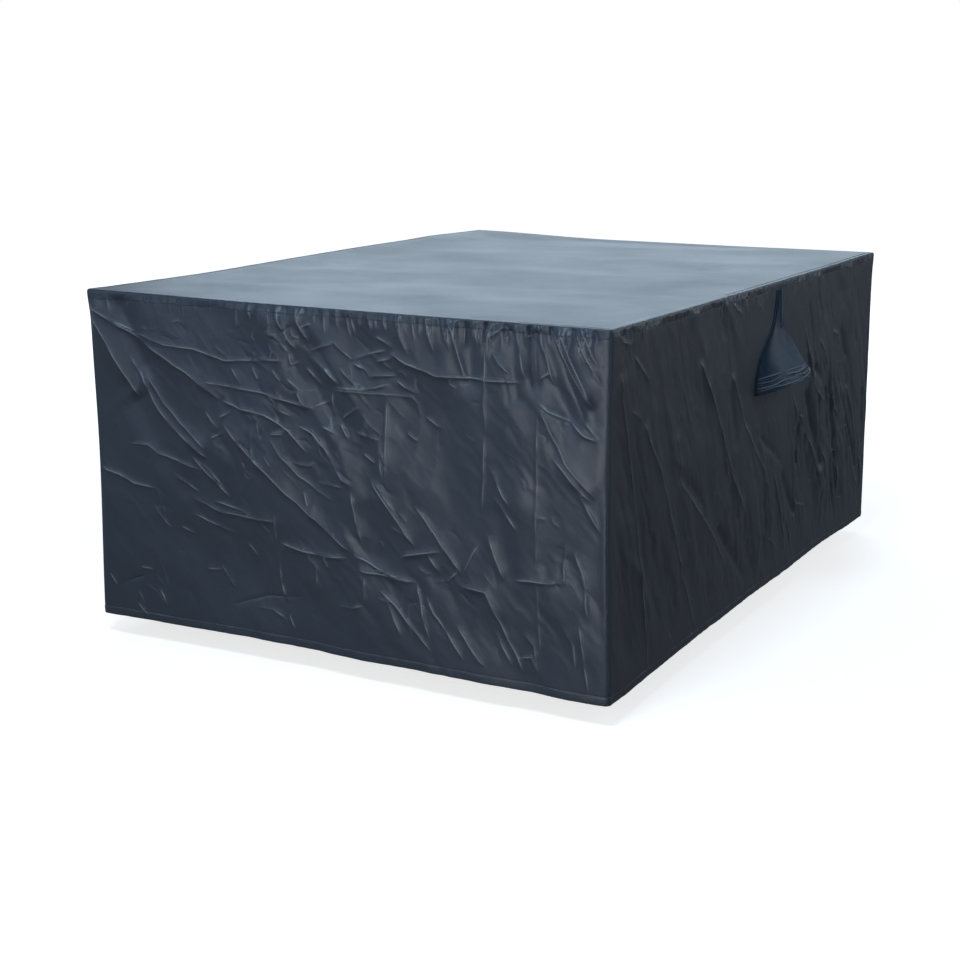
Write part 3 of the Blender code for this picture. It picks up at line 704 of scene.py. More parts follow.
def weave_group():
    """Coated plain weave with sharp creases, each with a painted highlight along it. Out: colour, roughness
    and relief in millimetres.
    """
    group, entry, out = new_group(
        "coated weave",
        [
            ("Colour", COLOUR, (0.05, 0.06, 0.08, 1)),
            ("Mottle", NUMBER, 0.12),
            ("Pale", NUMBER, 0.25),
            ("Fold", NUMBER, 1.6),
            ("Crinkle", NUMBER, 0.5),
            ("Stitch Row", NUMBER, NO_STITCHES),
        ],
        [("Colour", COLOUR), ("Roughness", NUMBER), ("Relief", NUMBER)],
    )
    given = entry.outputs

    def reckon(operation, *values):
        """What a Math node puts out for some sockets and numbers."""
        made = node(group, "ShaderNodeMath", operation=operation)
        for number, value in enumerate(values):
            if isinstance(value, float):
                made.inputs[number].default_value = value
            else:
                group.links.new(value, made.inputs[number])
        return made.outputs[0]

    uv = node(group, "ShaderNodeUVMap", uv_map="cloth").outputs["UV"]
    place = node(group, "ShaderNodeTexCoord").outputs["Object"]
    cloud = node(group, "ShaderNodeTexNoise", [(place, "Vector")],
                 {"Scale": 3.2, "Detail": 5.0, "Roughness": 0.62}).outputs["Fac"]
    speck = node(group, "ShaderNodeTexNoise", [(uv, "Vector")],
                 {"Scale": 160.0, "Detail": 3.0, "Roughness": 0.7}).outputs["Fac"]

    # a painted highlight along each crease, and the stitches
    crease = node(group, "ShaderNodeAttribute", attribute_name="crease").outputs["Fac"]
    off = node(group, "ShaderNodeAttribute", attribute_name="crease_off").outputs["Fac"]
    share = reckon("DIVIDE", off, PALE_HALF)
    square = reckon("MULTIPLY", share, share)
    line = reckon("MULTIPLY", reckon("EXPONENT", reckon("MULTIPLY", square, -1.0)), crease)
    along, down, _ = node(group, "ShaderNodeSeparateXYZ", [(uv, "Vector")]).outputs
    in_row = reckon("COMPARE", down, given["Stitch Row"], STITCH_HALF)
    on_thread = reckon("LESS_THAN", reckon("FRACT", reckon("DIVIDE", along, STITCH_PITCH)), STITCH_SHARE)
    stitch = reckon("MULTIPLY", in_row, on_thread)
    pale = reckon("MULTIPLY_ADD", stitch, STITCH_PALE, reckon("MULTIPLY", line, given["Pale"]))

    # colour and roughness, uneven in clouds and specks
    mottle = reckon("MULTIPLY", reckon("SUBTRACT", reckon("ADD", cloud, speck), 1.0), given["Mottle"])
    factor = reckon("ADD", mottle, 1.0)
    tinted = node(group, "ShaderNodeVectorMath", [(given["Colour"], 0), (factor, "Scale")],
                  operation="SCALE")
    # mixed towards the pale colour: a painted highlight along the creases, and the stitches' pale thread
    thread_and_highlight = node(group, "ShaderNodeMix", data_type="RGBA", clamp_factor=True)
    given_to = {one.name: one for one in thread_and_highlight.inputs if one.enabled}
    given_to["B"].default_value = THREAD_AND_HIGHLIGHT
    group.links.new(pale, given_to["Factor"])
    group.links.new(tinted.outputs["Vector"], given_to["A"])
    group.links.new(next(one for one in thread_and_highlight.outputs if one.enabled), out.inputs["Colour"])
    rough = node(group, "ShaderNodeMapRange", [(cloud, "Value")],
                 {"From Min": 0.3, "From Max": 0.7, "To Min": 0.38, "To Max": 0.48})
    group.links.new(rough.outputs["Result"], out.inputs["Roughness"])

    # relief: the threads and stitches, a sharp fold along each crease, and the coating's crinkle
    threads = [
        node(group, "ShaderNodeTexWave", [(uv, "Vector")],
             {"Scale": 200.0, "Distortion": 0.6, "Detail": 1.0, "Detail Scale": 1.0},
             wave_type="BANDS", bands_direction=axis, wave_profile="SIN").outputs["Fac"]
        for axis in ("X", "Y")
    ]
    woven = reckon("ADD", reckon("MULTIPLY", *threads), speck)
    fine = reckon("MULTIPLY", reckon("MULTIPLY_ADD", stitch, STITCH_RISE, woven), THREAD_RISE)
    rounded = reckon("SQRT", reckon("ADD", square, RIDGE_ROUND))
    ridge = reckon("EXPONENT", reckon("MULTIPLY", rounded, RIDGE_FALL))
    fold = reckon("MULTIPLY", reckon("MULTIPLY", ridge, crease), given["Fold"])
    turned = node(group, "ShaderNodeMapping", [(uv, "Vector")],
                  {"Rotation": (0, 0, math.radians(CRINKLE_SLANT)), "Scale": (3.0, 1.0, 1.0)},
                  vector_type="TEXTURE")
    crinkle = node(group, "ShaderNodeTexNoise", [(turned.outputs[0], "Vector")],
                   {"Scale": 22.0, "Detail": 4.0, "Roughness": 0.5, "Lacunarity": 2.2, "Offset": 0.9,
                    "Gain": 1.6, "Distortion": 0.4},
                   noise_type="RIDGED_MULTIFRACTAL")
    patchy = node(group, "ShaderNodeMapRange", [(cloud, "Value")],
                  {"From Min": 0.42, "From Max": 0.62, "To Min": 0.15, "To Max": 1.0})
    local = reckon("MULTIPLY", patchy.outputs["Result"], given["Crinkle"])
    crinkled = reckon("MULTIPLY", crinkle.outputs["Fac"], local)
    relief = reckon("ADD", fine, reckon("ADD", fold, crinkled))
    group.links.new(relief, out.inputs["Relief"])
    return group


WEAVE = weave_group()


# pale sets how strong the painted highlight along the creases is
def coated_cloth(name, colour, mottle, pale, shine, crinkle, stitch_row=NO_STITCHES):
    """The cloth's material: the weave group on a soft coated surface with a faint sheen."""
    material = bpy.data.materials.new(name)
    material.use_nodes = True
    tree = material.node_tree
    shader = tree.nodes["Principled BSDF"]
    shader.inputs["Sheen Weight"].default_value = 0.12
    shader.inputs["Sheen Roughness"].default_value = 0.45
    shader.inputs["Sheen Tint"].default_value = (0.80, 0.88, 1.0, 1.0)
    shader.inputs["Specular IOR Level"].default_value = shine
    weave = node(tree, "ShaderNodeGroup", node_tree=WEAVE,
                 values={"Colour": colour, "Mottle": mottle, "Pale": pale, "Crinkle": crinkle,
                         "Stitch Row": stitch_row})
    tree.links.new(weave.outputs["Colour"], shader.inputs["Base Color"])
    tree.links.new(weave.outputs["Roughness"], shader.inputs["Roughness"])
    bump = node(tree, "ShaderNodeBump", [(weave.outputs["Relief"], "Height")],
                {"Strength": 1.0, "Distance": 0.001})
    tree.links.new(bump.outputs["Normal"], shader.inputs["Normal"])
    return material


WALL_CLOTH = coated_cloth(
    "wall_cloth",
    colour=(0.036, 0.045, 0.062, 1),
    mottle=0.25,
    pale=1.4,
    shine=0.50,
    crinkle=0.5,
    stitch_row=STITCH_ROW,
)
SEAM_INSETS = np.array([SEAM_TURN, 0.002, 0.0003, 0.00005, 0.0])  # of the cloth beside a seam
SEAM_STEPS = np.array([0.0, 0.00005, 0.00015, 0.0004, 0.0010])  # and how far from it
FIRST_STEP = 0.003  # from a seam to the first even step
TURNED_UP = np.array([STITCH_ROW, STITCH_ROW + 0.003, DROP - HEM / 2])  # the hem's cloth behind the wall
TURNED_UP_INSETS = np.array([0.0012, HEM_BACK - 0.0004, HEM_BACK])
BY_STITCHES = np.array([0.012, 0.008, 0.005, 0.0025, 0.0012, 0.0, -0.0012, -0.0025, -0.005])  # rows
STITCH_GROOVE = 0.0013  # half the width of the groove that the stitches pull
HEM_RISE = 0.0005  # how far the hem stands out, and how deep the groove is
HEM_BEGINS = 0.003  # it comes to its full height over this much
HEM_PUCKER = Lump(0.0006, 0.014, 8)
SEAM_WAVE_REACH = 0.010
SEAM_WAVE_FADE = 0.03  # towards a corner
HEM_WAVE_REACH = 0.08
HEM_WAVE_FADE = 0.05


def steps(start, end, step):
    """Evenly spaced places from start to end, about a step apart."""
    return np.linspace(start, end, max(2, round((end - start) / step) + 1))


def two_steps(start, end, change, first, second):
    """Places a first step apart up to the change, and a second one beyond it."""
    return np.concatenate([steps(start, change, first)[:-1], steps(change, end, second)])


def seam_wave(wall, along, down):
    """How far the seam under the top edge rises and falls."""
    ends = smooth(from_corner(wall, along) / SEAM_WAVE_FADE)
    wave = wavers(along, along * 0, Lump(0.0012, 0.030, 21 + wall.turn), Lump(0.0006, 0.011, 22))
    return ends * wave * hump(down - RIM, SEAM_WAVE_REACH)


def hem_wave(wall, along, down):
    """How far the hem rises and falls."""
    ends = smooth(from_corner(wall, along) / HEM_WAVE_FADE)
    wave = wavers(along, along * 0, Lump(0.0022, 0.14, 31 + wall.turn), Lump(0.0008, 0.035, 32))
    return ends * wave * smooth((down - DROP + HEM_WAVE_REACH) / HEM_WAVE_REACH)


def make_wall(wall, columns, rows):
    """A hanging wall, from the cloth turned in at the seam above it to its turned-up hem.

    columns and rows each say where the step between them changes, and the step before and after.
    """
    along = two_steps(FIRST_STEP, wall.length - FIRST_STEP, *columns)
    along_inset = np.concatenate([SEAM_INSETS, np.zeros(len(along)), SEAM_INSETS[::-1]])
    along = np.concatenate([SEAM_STEPS, along, wall.length - SEAM_STEPS[::-1]])
    fold = HEM_BACK / 2
    turns = np.linspace(math.pi, 0, 5)
    round_down = DROP - fold + fold * np.sin(turns)
    round_inset = fold - fold * np.cos(turns)
    by_stitches = STITCH_ROW + BY_STITCHES
    up = two_steps(RIM + FIRST_STEP, by_stitches[-1], *rows)[-2::-1]
    level = np.zeros(len(by_stitches) + len(up))
    down = np.concatenate([TURNED_UP, round_down, by_stitches, up, RIM + SEAM_STEPS[::-1]])
    down_inset = np.concatenate([TURNED_UP_INSETS, round_inset, level, SEAM_INSETS[::-1]])

    mesh = bmesh.new()
    verts, column, row = add_grid(mesh, len(along), len(down))
    inset = np.maximum(along_inset[column], down_inset[row])
    along, down = along[column], down[row]
    depth, lines = wall_depth(wall, along, down)
    outside = row >= len(TURNED_UP) + len(turns)
    band = smooth((down - STITCH_ROW) / HEM_BEGINS)
    depth = depth + outside * (HEM_RISE * band - HEM_RISE * hump(down - STITCH_ROW, STITCH_GROOVE))
    depth += HEM_PUCKER.rise * band * waver(along, down, HEM_PUCKER.size, HEM_PUCKER.seed)
    points = on_wall(wall, along, down, inset, depth)
    points[:, 2] += seam_wave(wall, along, down)
    points[:, 2] += hem_wave(wall, along, down)
    place_verts(verts, points)
    uv = np.stack([along, down], axis=1)
    return cloth_object(wall.node.replace("panel", "wall"), mesh, uv, lines, WALL_CLOTH)


def add_cloth(piece, replaced):
    """Hang a finished sheet on the root, and hide the part that it stands for."""
    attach(piece, "root")
    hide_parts(replaced)


front = make_wall(FRONT, columns=(0.80, 0.0027, 0.0033), rows=(0.36, 0.0028, 0.0036))
add_cloth(front, "front_panel")

# ---------------------------------------------------------------------------------------------------
# Right wall. The long wall with the vent hood, cut and hemmed like the front one. Its cloth hangs in
# long soft folds that lean away from the near corner, and lies flat where the hood is sewn on.
RIGHT_CREASES = (
    Crease(4.1, 16, 11, ((40, 80), (75, 200), (105, 300), (122, 350))),
    Crease(3.6, 14, 14, ((112, 320), (135, 420), (155, 520), (180, 620), (196, 690))),
    Crease(4.5, 20, 11, ((150, 190), (200, 260), (235, 305), (310, 440), (376, 545))),
    Crease(3.3, 14, 10, ((370, 545), (400, 590), (425, 630), (455, 680))),
    Crease(2.4, 9, 16, ((325, 235), (355, 355), (460, 435), (560, 520), (625, 585))),
    Crease(4.5, 16, 12, ((430, 110), (520, 220), (570, 280), (660, 410), (740, 500))),
    Crease(2.0, 6, 6, ((598, 335), (620, 380), (645, 418))),
    Crease(1.8, 8, 8, ((628, 400), (645, 450), (662, 490))),
    Crease(4.2, 12, 18, ((620, 165), (680, 240), (730, 300), (840, 405), (885, 450))),
    Crease(1.7, 5, 5, ((597, 8), (640, 30), (684, 50))),
    Crease(1.5, 5, 5, ((752, 8), (800, 45), (838, 68))),
    Crease(1.5, 5, 6, ((16, 6), (50, 28), (105, 36))),
    Crease(1.5, 4, 5, ((98, 53), (140, 90), (183, 124))),
    Crease(1.0, 4, 4, ((98, 163), (125, 174), (153, 192))),
    Crease(1.2, 5, 5, ((300, 645), (318, 668), (333, 690))),
    Crease(1.4, 7, 7, ((868, 445), (890, 465), (905, 495))),
    Crease(3.6, 14, 10, ((1045, 262), (1090, 330), (1125, 360))),
    Crease(4.2, 14, 10, ((1120, 338), (1160, 380), (1210, 420), (1270, 500), (1315, 570))),
    Crease(4.2, 16, 10, ((1125, 120), (1170, 200), (1210, 270), (1262, 322), (1305, 332))),
    Crease(2.1, 9, 8, ((1278, 415), (1300, 462), (1325, 500))),
    Crease(2.5, 10, 10, ((1235, 165), (1280, 210), (1325, 265))),
    Crease(2.1, 8, 8, ((1355, 163), (1405, 178), (1425, 250))),
    Crease(1.7, 6, 6, ((1365, 325), (1390, 362), (1408, 375), (1436, 417))),
    Crease(3.6, 12, 10, ((1495, 320), (1540, 380), (1565, 430), (1595, 510))),
    Crease(3.0, 12, 10, ((1432, 300), (1480, 400), (1530, 500), (1580, 570), (1640, 620))),
    Crease(2.4, 8, 8, ((1436, 505), (1450, 555), (1462, 620))),
    Crease(2.8, 10, 10, ((1340, 400), (1380, 520), (1400, 610), (1435, 662))),
    Crease(2.7, 9, 9, ((1605, 440), (1622, 520), (1645, 570), (1655, 640))),
    Crease(1.8, 7, 7, ((1600, 625), (1630, 650), (1665, 690))),
    Crease(1.2, 5, 5, ((1098, 548), (1150, 565), (1205, 583))),
    Crease(1.2, 6, 6, ((895, 585), (940, 610), (985, 640))),
    Crease(2.0, 8, 8, ((1050, 570), (1075, 615), (1095, 670))),
    Crease(2.0, 8, 8, ((930, 440), (980, 520), (1020, 600), (1045, 670))),
    Crease(1.2, 5, 5, ((955, 30), (968, 60), (972, 90))),
    Crease(1.0, 4, 4, ((985, 25), (994, 60), (998, 88))),
)
RIGHT_SWELLS = (
    Swell(-4.1, 16, ((355, 335), (470, 412))),
    Swell(-5.8, 14, ((580, 500), (770, 660))),
    Swell(-4.1, 22, ((620, 220), (665, 320))),
    Swell(-3.2, 10, ((810, 330), (975, 422))),
    Swell(-4.1, 11, ((1010, 470), (1105, 570))),
    Swell(-4.1, 9, ((1115, 335), (1112, 455))),
    Swell(-7.6, 15, ((1170, 295), (1288, 490))),
    Swell(-3.2, 11, ((1220, 240), (1315, 308))),
    Swell(-2.7, 12, ((1430, 175), (1480, 240))),
    Swell(-5.8, 12, ((1470, 355), (1595, 550))),
    Swell(-5.8, 12, ((1388, 495), (1442, 650))),
    Swell(-3.6, 10, ((1635, 360), (1655, 500))),
    Swell(3.6, 35, ((1330, 510), (1350, 570))),
    Swell(-4.5, 30, ((60, 420), (90, 640))),
    Swell(-3.6, 26, ((250, 460), (310, 650))),
    Swell(3.6, 50, ((760, 500), (860, 640))),
)
RIGHT_GATHERS = (
    Gather(0.03, 0.55, 0.045, 0.9, 0.035),
    Gather(0.55, 0.88, 0.024, 1.6, 0.055),
    Gather(0.95, 1.67, 0.050, 0.8, 0.045),
)
RIGHT_PATCHES = (
    Patch(1.35, 0.42, 0.28, 0.9),
    Patch(0.85, 0.55, 0.24, 0.5),
    Patch(0.30, 0.45, 0.25, 0.3),
)
RIGHT_FACETS = (
    Facet(0.085, 4.0, 66, 5.0),
    Facet(0.034, 5.0, 70, -2.1),
    Facet(0.018, 5.0, 64, 0.9),
)
RIGHT_CRUMPLES = (
    Crumple(60, (0.05, 0.20), (1.60, 0.66), 0.6, 68),
    Crumple(60, (1.05, 0.25), (1.62, 0.64), 0.9, 70),
)
# Where the wall lies flat under the hood, and over how much it comes back to its folds
UnderHood = namedtuple("UnderHood", "begin end down fade")
FOLDS["right_panel"] = Folds(
    RIGHT_SWELLS,
    RIGHT_CREASES,
    RIGHT_FACETS,
    RIGHT_PATCHES,
    base=0.45,
    seed=200,
    crumples=RIGHT_CRUMPLES,
    gathers=RIGHT_GATHERS,
    calm=0.75,
    flat=UnderHood(0.74, 1.10, 0.28, 0.07),
)
right = make_wall(RIGHT, columns=(0.90, 0.0036, 0.0036), rows=(0.36, 0.0036, 0.0036))
add_cloth(right, "right_panel")

# ---------------------------------------------------------------------------------------------------
# Back and left walls. Cut and hemmed like the other two, in fewer and softer folds, with the square
# lines of their packing. Small creases are strewn all over them.
BACK_CREASES = (
    Crease(4.0, 18, 14, ((20, 30), (120, 160), (190, 340), (260, 560))),
    Crease(3.0, 14, 10, ((320, 90), (420, 240), (470, 420), (480, 620))),
    Crease(2.6, 12, 10, ((700, 40), (660, 200), (640, 400), (620, 600))),
    Crease(3.4, 12, 14, ((1180, 30), (1080, 150), (1020, 360), (980, 610))),
    Crease(2.2, 8, 7, ((860, 200), (900, 300), (900, 440))),
    Crease(2.0, 7, 7, ((200, 420), (280, 470), (360, 480))),
    Crease(1.2, 4, 4, ((300, 30), (301, 300), (300, 680))),
    Crease(1.2, 4, 4, ((600, 30), (599, 350), (600, 690))),
    Crease(1.2, 4, 4, ((900, 30), (900, 300), (901, 690))),
    Crease(1.2, 5, 4, ((20, 350), (500, 352), (1180, 350))),
)
BACK_SWELLS = (
    Swell(-6.0, 60, ((420, 160), (480, 640))),
    Swell(-5.0, 50, ((860, 200), (800, 640))),
    Swell(4.0, 45, ((100, 100), (260, 600))),
    Swell(4.0, 45, ((1080, 100), (980, 580))),
)
LEFT_CREASES = (
    Crease(4.0, 18, 14, ((20, 30), (120, 180), (200, 360), (280, 580))),
    Crease(3.0, 14, 11, ((420, 60), (480, 240), (500, 420), (530, 640))),
    Crease(3.0, 12, 12, ((800, 40), (760, 220), (760, 420), (740, 620))),
    Crease(2.8, 12, 10, ((1000, 240), (1020, 420), (1000, 640))),
    Crease(2.8, 12, 12, ((1300, 40), (1260, 220), (1260, 420), (1240, 600))),
    Crease(3.6, 13, 15, ((1680, 30), (1580, 170), (1520, 360), (1460, 590))),
    Crease(2.0, 8, 7, ((600, 300), (660, 380), (700, 500))),
    Crease(2.0, 8, 7, ((1100, 140), (1160, 220), (1180, 330))),
    Crease(1.2, 4, 4, ((425, 30), (426, 300), (425, 680))),
    Crease(1.2, 4, 4, ((850, 30), (851, 350), (850, 690))),
    Crease(1.2, 4, 4, ((1275, 30), (1275, 300), (1276, 690))),
    Crease(1.2, 5, 4, ((20, 350), (800, 352), (1680, 350))),
)
LEFT_SWELLS = (
    Swell(-6.0, 60, ((460, 140), (520, 640))),
    Swell(-5.0, 60, ((1020, 220), (1000, 640))),
    Swell(4.0, 55, ((780, 80), (740, 600))),
    Swell(4.0, 50, ((1600, 100), (1460, 560))),
)
HIDDEN_FACETS = (
    Facet(0.130, 2.4, 62, 4.0),
    Facet(0.055, 2.4, 66, -2.0),
    Facet(0.060, 2.0, 110, 1.6),
    Facet(0.026, 2.6, 58, 0.8),
)
for wall, swells, creases in ((BACK, BACK_SWELLS, BACK_CREASES), (LEFT, LEFT_SWELLS, LEFT_CREASES)):
    FOLDS[wall.node] = Folds(
        swells,
        creases,
        HIDDEN_FACETS,
        patches=(),
        base=0.8,
        seed=300,
        crumples=(Crumple(round(50 * wall.length), (0.05, 0.06), (wall.length - 0.10, 0.64), 1.1, 58),),
        gathers=(Gather(0.03, wall.length - 0.03, 0.034, 1.4, 0.045),),
        calm=0.5,
    )
back = make_wall(BACK, columns=(0.60, 0.0045, 0.0045), rows=(0.36, 0.0045, 0.0045))
add_cloth(back, "back_panel")
left = make_wall(LEFT, columns=(0.90, 0.0050, 0.0050), rows=(0.36, 0.0050, 0.0050))
add_cloth(left, "left_panel")

# ---------------------------------------------------------------------------------------------------
# Top sheet. One cut of the same cloth that lies flat in faint ripples, is rounded over the edge and
# turned down to the seam, where the walls' gathers pucker its rim.
TOP_STEP = 0.0081
RIM_CELLS = 3  # round the rim for each one of the flat part
FLAT_RING = 0.012  # how far in from the sides its flat part begins
EDGE_R = 0.005
EDGE_TURNS = np.array([0.0, 15, 30, 45, 60, 75, 90])  # degrees from level
OVER_EDGE = 70  # degrees from which it is all puckered
BEFORE_EDGE = 0.010
RIM_DOWNS = (0.010, 0.012, 0.014)
RIPPLES = (
    Swell(3.0, 60, ((-450, -620), (300, -580))),
    Swell(-3.5, 70, ((-100, -360), (500, -280))),
    Swell(3.0, 60, ((-520, -300), (-50, -180))),
    Swell(-4.5, 80, ((-300, 120), (200, 60))),
    Swell(3.5, 70, ((100, 300), (500, 400))),
    Swell(-4.5, 70, ((-420, 380), (-120, 500))),
    Swell(3.0, 60, ((-50, 620), (350, 700))),
    Swell(-6.0, 80, ((-200, 800), (200, 840))),
)
RIPPLE_SHARE = 0.6
RIPPLE_FADE = 0.05  # in from the flat part's edge
SETTLE = 0.15  # over this far in, it comes down from its corners' height to the level
TOP_LOOSENESS = (Lump(0.0004, 0.11, 61), Lump(0.0002, 0.045, 62))
TOP_SINK = 0.0005
TOP_CRUMPLE = Crumple(90, (0.10, 0.20), (1.05, 1.66), 0.7, 8)
TOP_CLOTH = coated_cloth(
    "top_cloth", colour=(0.034, 0.044, 0.062, 1), mottle=0.10, pale=0.60, shine=0.45, crinkle=0.25
)


def ripple_height(x, y):
    """Height of the flat part's ripples, with nothing at the origin."""
    total = np.zeros(len(x))
    for row in RIPPLES:
        total = total + swelling(x, y, *row) - swelling(0.0, 0.0, *row)
    return total


def rim_points(wall, along, inset, down, turn):
    """Points of the top sheet's edge: over its rounding and down its rim."""
    depth, lines = wall_depth(wall, along, down)
    over = smooth(turn / OVER_EDGE)
    pucker = wavers(along, along * 0, Lump(0.0009, 0.0090, 51 + wall.turn))
    pucker = pucker + wavers(along, down, Lump(0.0006, 0.005, 52))
    pucker *= smooth(from_corner(wall, along) / SEAM_WAVE_FADE) * over
    points = on_wall(wall, along, down, inset, depth + pucker)
    points[:, 2] += pucker * np.cos(np.radians(turn)) * over
    points[:, 2] += seam_wave(wall, along, down)
    lines[:, 0] *= over
    return points, lines


def make_top():
    """The top sheet, its flat part a coarser grid than its rim."""
    mesh = bmesh.new()
    columns = round(WIDTH / TOP_STEP)
    rows = round(LENGTH / TOP_STEP)
    verts, column, row = add_grid(mesh, columns + 1, rows + 1)
    u = column / columns
    v = row / rows

    def ring(wall, share):
        along = share * wall.length
        still = np.zeros(len(along))
        return rim_points(wall, along, still + FLAT_RING, still, still)[0]

    south, north = ring(FRONT, u), ring(BACK, 1 - u)
    east, west = ring(RIGHT, v), ring(LEFT, 1 - v)
    ends = np.array([0.0, 1.0])
    (south_west, south_east), (north_east, north_west) = ring(FRONT, ends), ring(BACK, ends)
    u, v = u[:, None], v[:, None]
    points = (1 - v) * south + v * north + (1 - u) * west + u * east
    points -= (1 - v) * ((1 - u) * south_west + u * south_east) + v * ((1 - u) * north_west + u * north_east)
    x, y = points[:, 0], points[:, 1]
    from_side = np.minimum(WIDTH / 2 - np.abs(x), LENGTH / 2 - np.abs(y)) - FLAT_RING
    inner = smooth(from_side / RIPPLE_FADE)
    outer = 1 - smooth(from_side / SETTLE)
    level = SHEET / 2
    small = wavers(x, y, *TOP_LOOSENESS) - TOP_SINK
    uneven = RIPPLE_SHARE * ripple_height(x, y) + small
    points[:, 2] = level + (points[:, 2] - level) * outer + uneven * inner
    place_verts(verts, points)
    uv = [points[:, :2]]
    crinkled = Creased(x + WIDTH / 2, y + LENGTH / 2)
    crinkled.REACH = TOP_STEP  # its grid is coarse
    crumple(crinkled, np.random.default_rng(9), *TOP_CRUMPLE)
    lines = [np.stack([crinkled.line * inner, crinkled.off], axis=1)]

    over_inset = EDGE_R * (1 - np.sin(np.radians(EDGE_TURNS)))
    over_down = EDGE_R * (1 - np.cos(np.radians(EDGE_TURNS)))
    rim = np.zeros(len(RIM_DOWNS))
    insets = np.concatenate([SEAM_INSETS, rim, over_inset[::-1], [BEFORE_EDGE, FLAT_RING]])
    downs = np.concatenate([RIM - SEAM_STEPS, RIM_DOWNS[::-1], over_down[::-1], [0, 0]])
    upright = np.full(len(SEAM_STEPS) + len(RIM_DOWNS), 90.0)
    turns = np.concatenate([upright, EDGE_TURNS[::-1], [0, 0]])
    for wall in (FRONT, RIGHT, BACK, LEFT):
        cells = RIM_CELLS * (columns if wall in (FRONT, BACK) else rows)
        verts, column, row = add_grid(mesh, cells + 1, len(downs))
        along = column / cells * wall.length
        points, here = rim_points(wall, along, insets[row], downs[row], turns[row])
        place_verts(verts, points)
        uv.append(np.stack([along, downs[row] - insets[row]], axis=1))
        lines.append(here)
    return cloth_object("top_sheet", mesh, np.concatenate(uv), np.concatenate(lines), TOP_CLOTH)


top = make_top()
add_cloth(top, "top_panel")

# ---------------------------------------------------------------------------------------------------
# Vent hood. A pleat that opens into a half cone over a vent, of the same cloth, sewn to the right wall
# by a flange at each side. Its mouth is hemmed and shirred in four rows.
HOOD_ALONG = 0.918
HOOD_THICK = 0.0008
FLANGE_STEPS = np.array([0.001, 0.004, 0.008])  # out from the half cone to the flange's edge
Section = namedtuple("Section", "down half lift rise")
HOOD_SECTIONS = (
    Section(0.018, 0.008, 0.004, 0.000),
    Section(0.060, 0.016, 0.006, 0.000),
    Section(0.098, 0.034, 0.008, 0.000),
    Section(0.124, 0.068, 0.015, 0.000),
    Section(0.150, 0.098, 0.025, 0.002),
    Section(0.180, 0.120, 0.039, 0.007),
    Section(0.212, 0.130, 0.055, 0.015),
    Section(0.242, 0.128, 0.070, 0.024),
)
MOUTH = HOOD_SECTIONS[-1].down
MOUTH_HALF = 0.13
# The mouth's hem, turned up behind it: how far behind, and at what share of the hood's length
TUCK = np.array([0.0015, 0.0022, 0.0022, 0.0018, 0.0008])
TUCK_SHARE = np.array([-0.055, -0.050, -0.012, -0.004, -0.001])
SHIRR_ROWS = (0.009, 0.018, 0.029, 0.039)  # above the mouth's edge
SHIRR_RISE = 0.0042
SHIRR_HALF = 0.0026
SHIRR_STRAY = Lump(0.0040, 0.24, 70)  # how far each row strays, over shares of the hood's half-width
SHIRR_FULL = Lump(0.70, 0.22, 80)  # how much fuller and fainter it gets along itself
SHIRR_MEAN = 0.60
SHIRR_MIDDLE = 0.022  # the cloth puckers round here, and as far again to both sides
SHIRR_PUCKER = Lump(0.0010, 0.006, 90)
PLEAT_RISE = 0.0030
PLEAT_HALF = 0.0035
PLEAT_END = 0.085
PLEAT_FADE = 0.02
PINCH = 0.104  # down to where the pleat is pinched in
PINCH_HALF = 0.007
HOOD_LOOSENESS = Lump(0.0012, 0.030, 91)
LIP_LIFT = 0.010  # the mouth is drawn up on its far side
LIP_START = 0.190
LIP_REACH = 0.045
LIE = 0.65 * SHEET  # how far off the wall's middle its edges lie
FLANGE_FLAT = 0.006  # from here out the flange is pressed down on the wall
# The same cloth as the walls, its colour painted darker and bluer than theirs as shade, with strong painted
# highlights along its rows and pleat
SHADED_HOOD_CLOTH = coated_cloth(
    "hood_cloth", colour=(0.022, 0.044, 0.076, 1), mottle=0.45, pale=3.0, shine=0.10, crinkle=0.6
)


def through(values, share):
    """A smooth curve through evenly spaced values, read at a share of its length."""
    values = np.array(values)
    last = len(values) - 1
    place = np.clip(share, 0, 1) * last
    low = np.minimum(place.astype(int), last - 1)
    t = place - low
    p0, p1 = values[np.maximum(low - 1, 0)], values[low]
    p2, p3 = values[low + 1], values[np.minimum(low + 2, last)]
    return p1 + 0.5 * t * (p2 - p0 + t * (2 * p0 - 5 * p1 + 4 * p2 - p3 + t * (3 * (p1 - p2) + p3 - p0)))


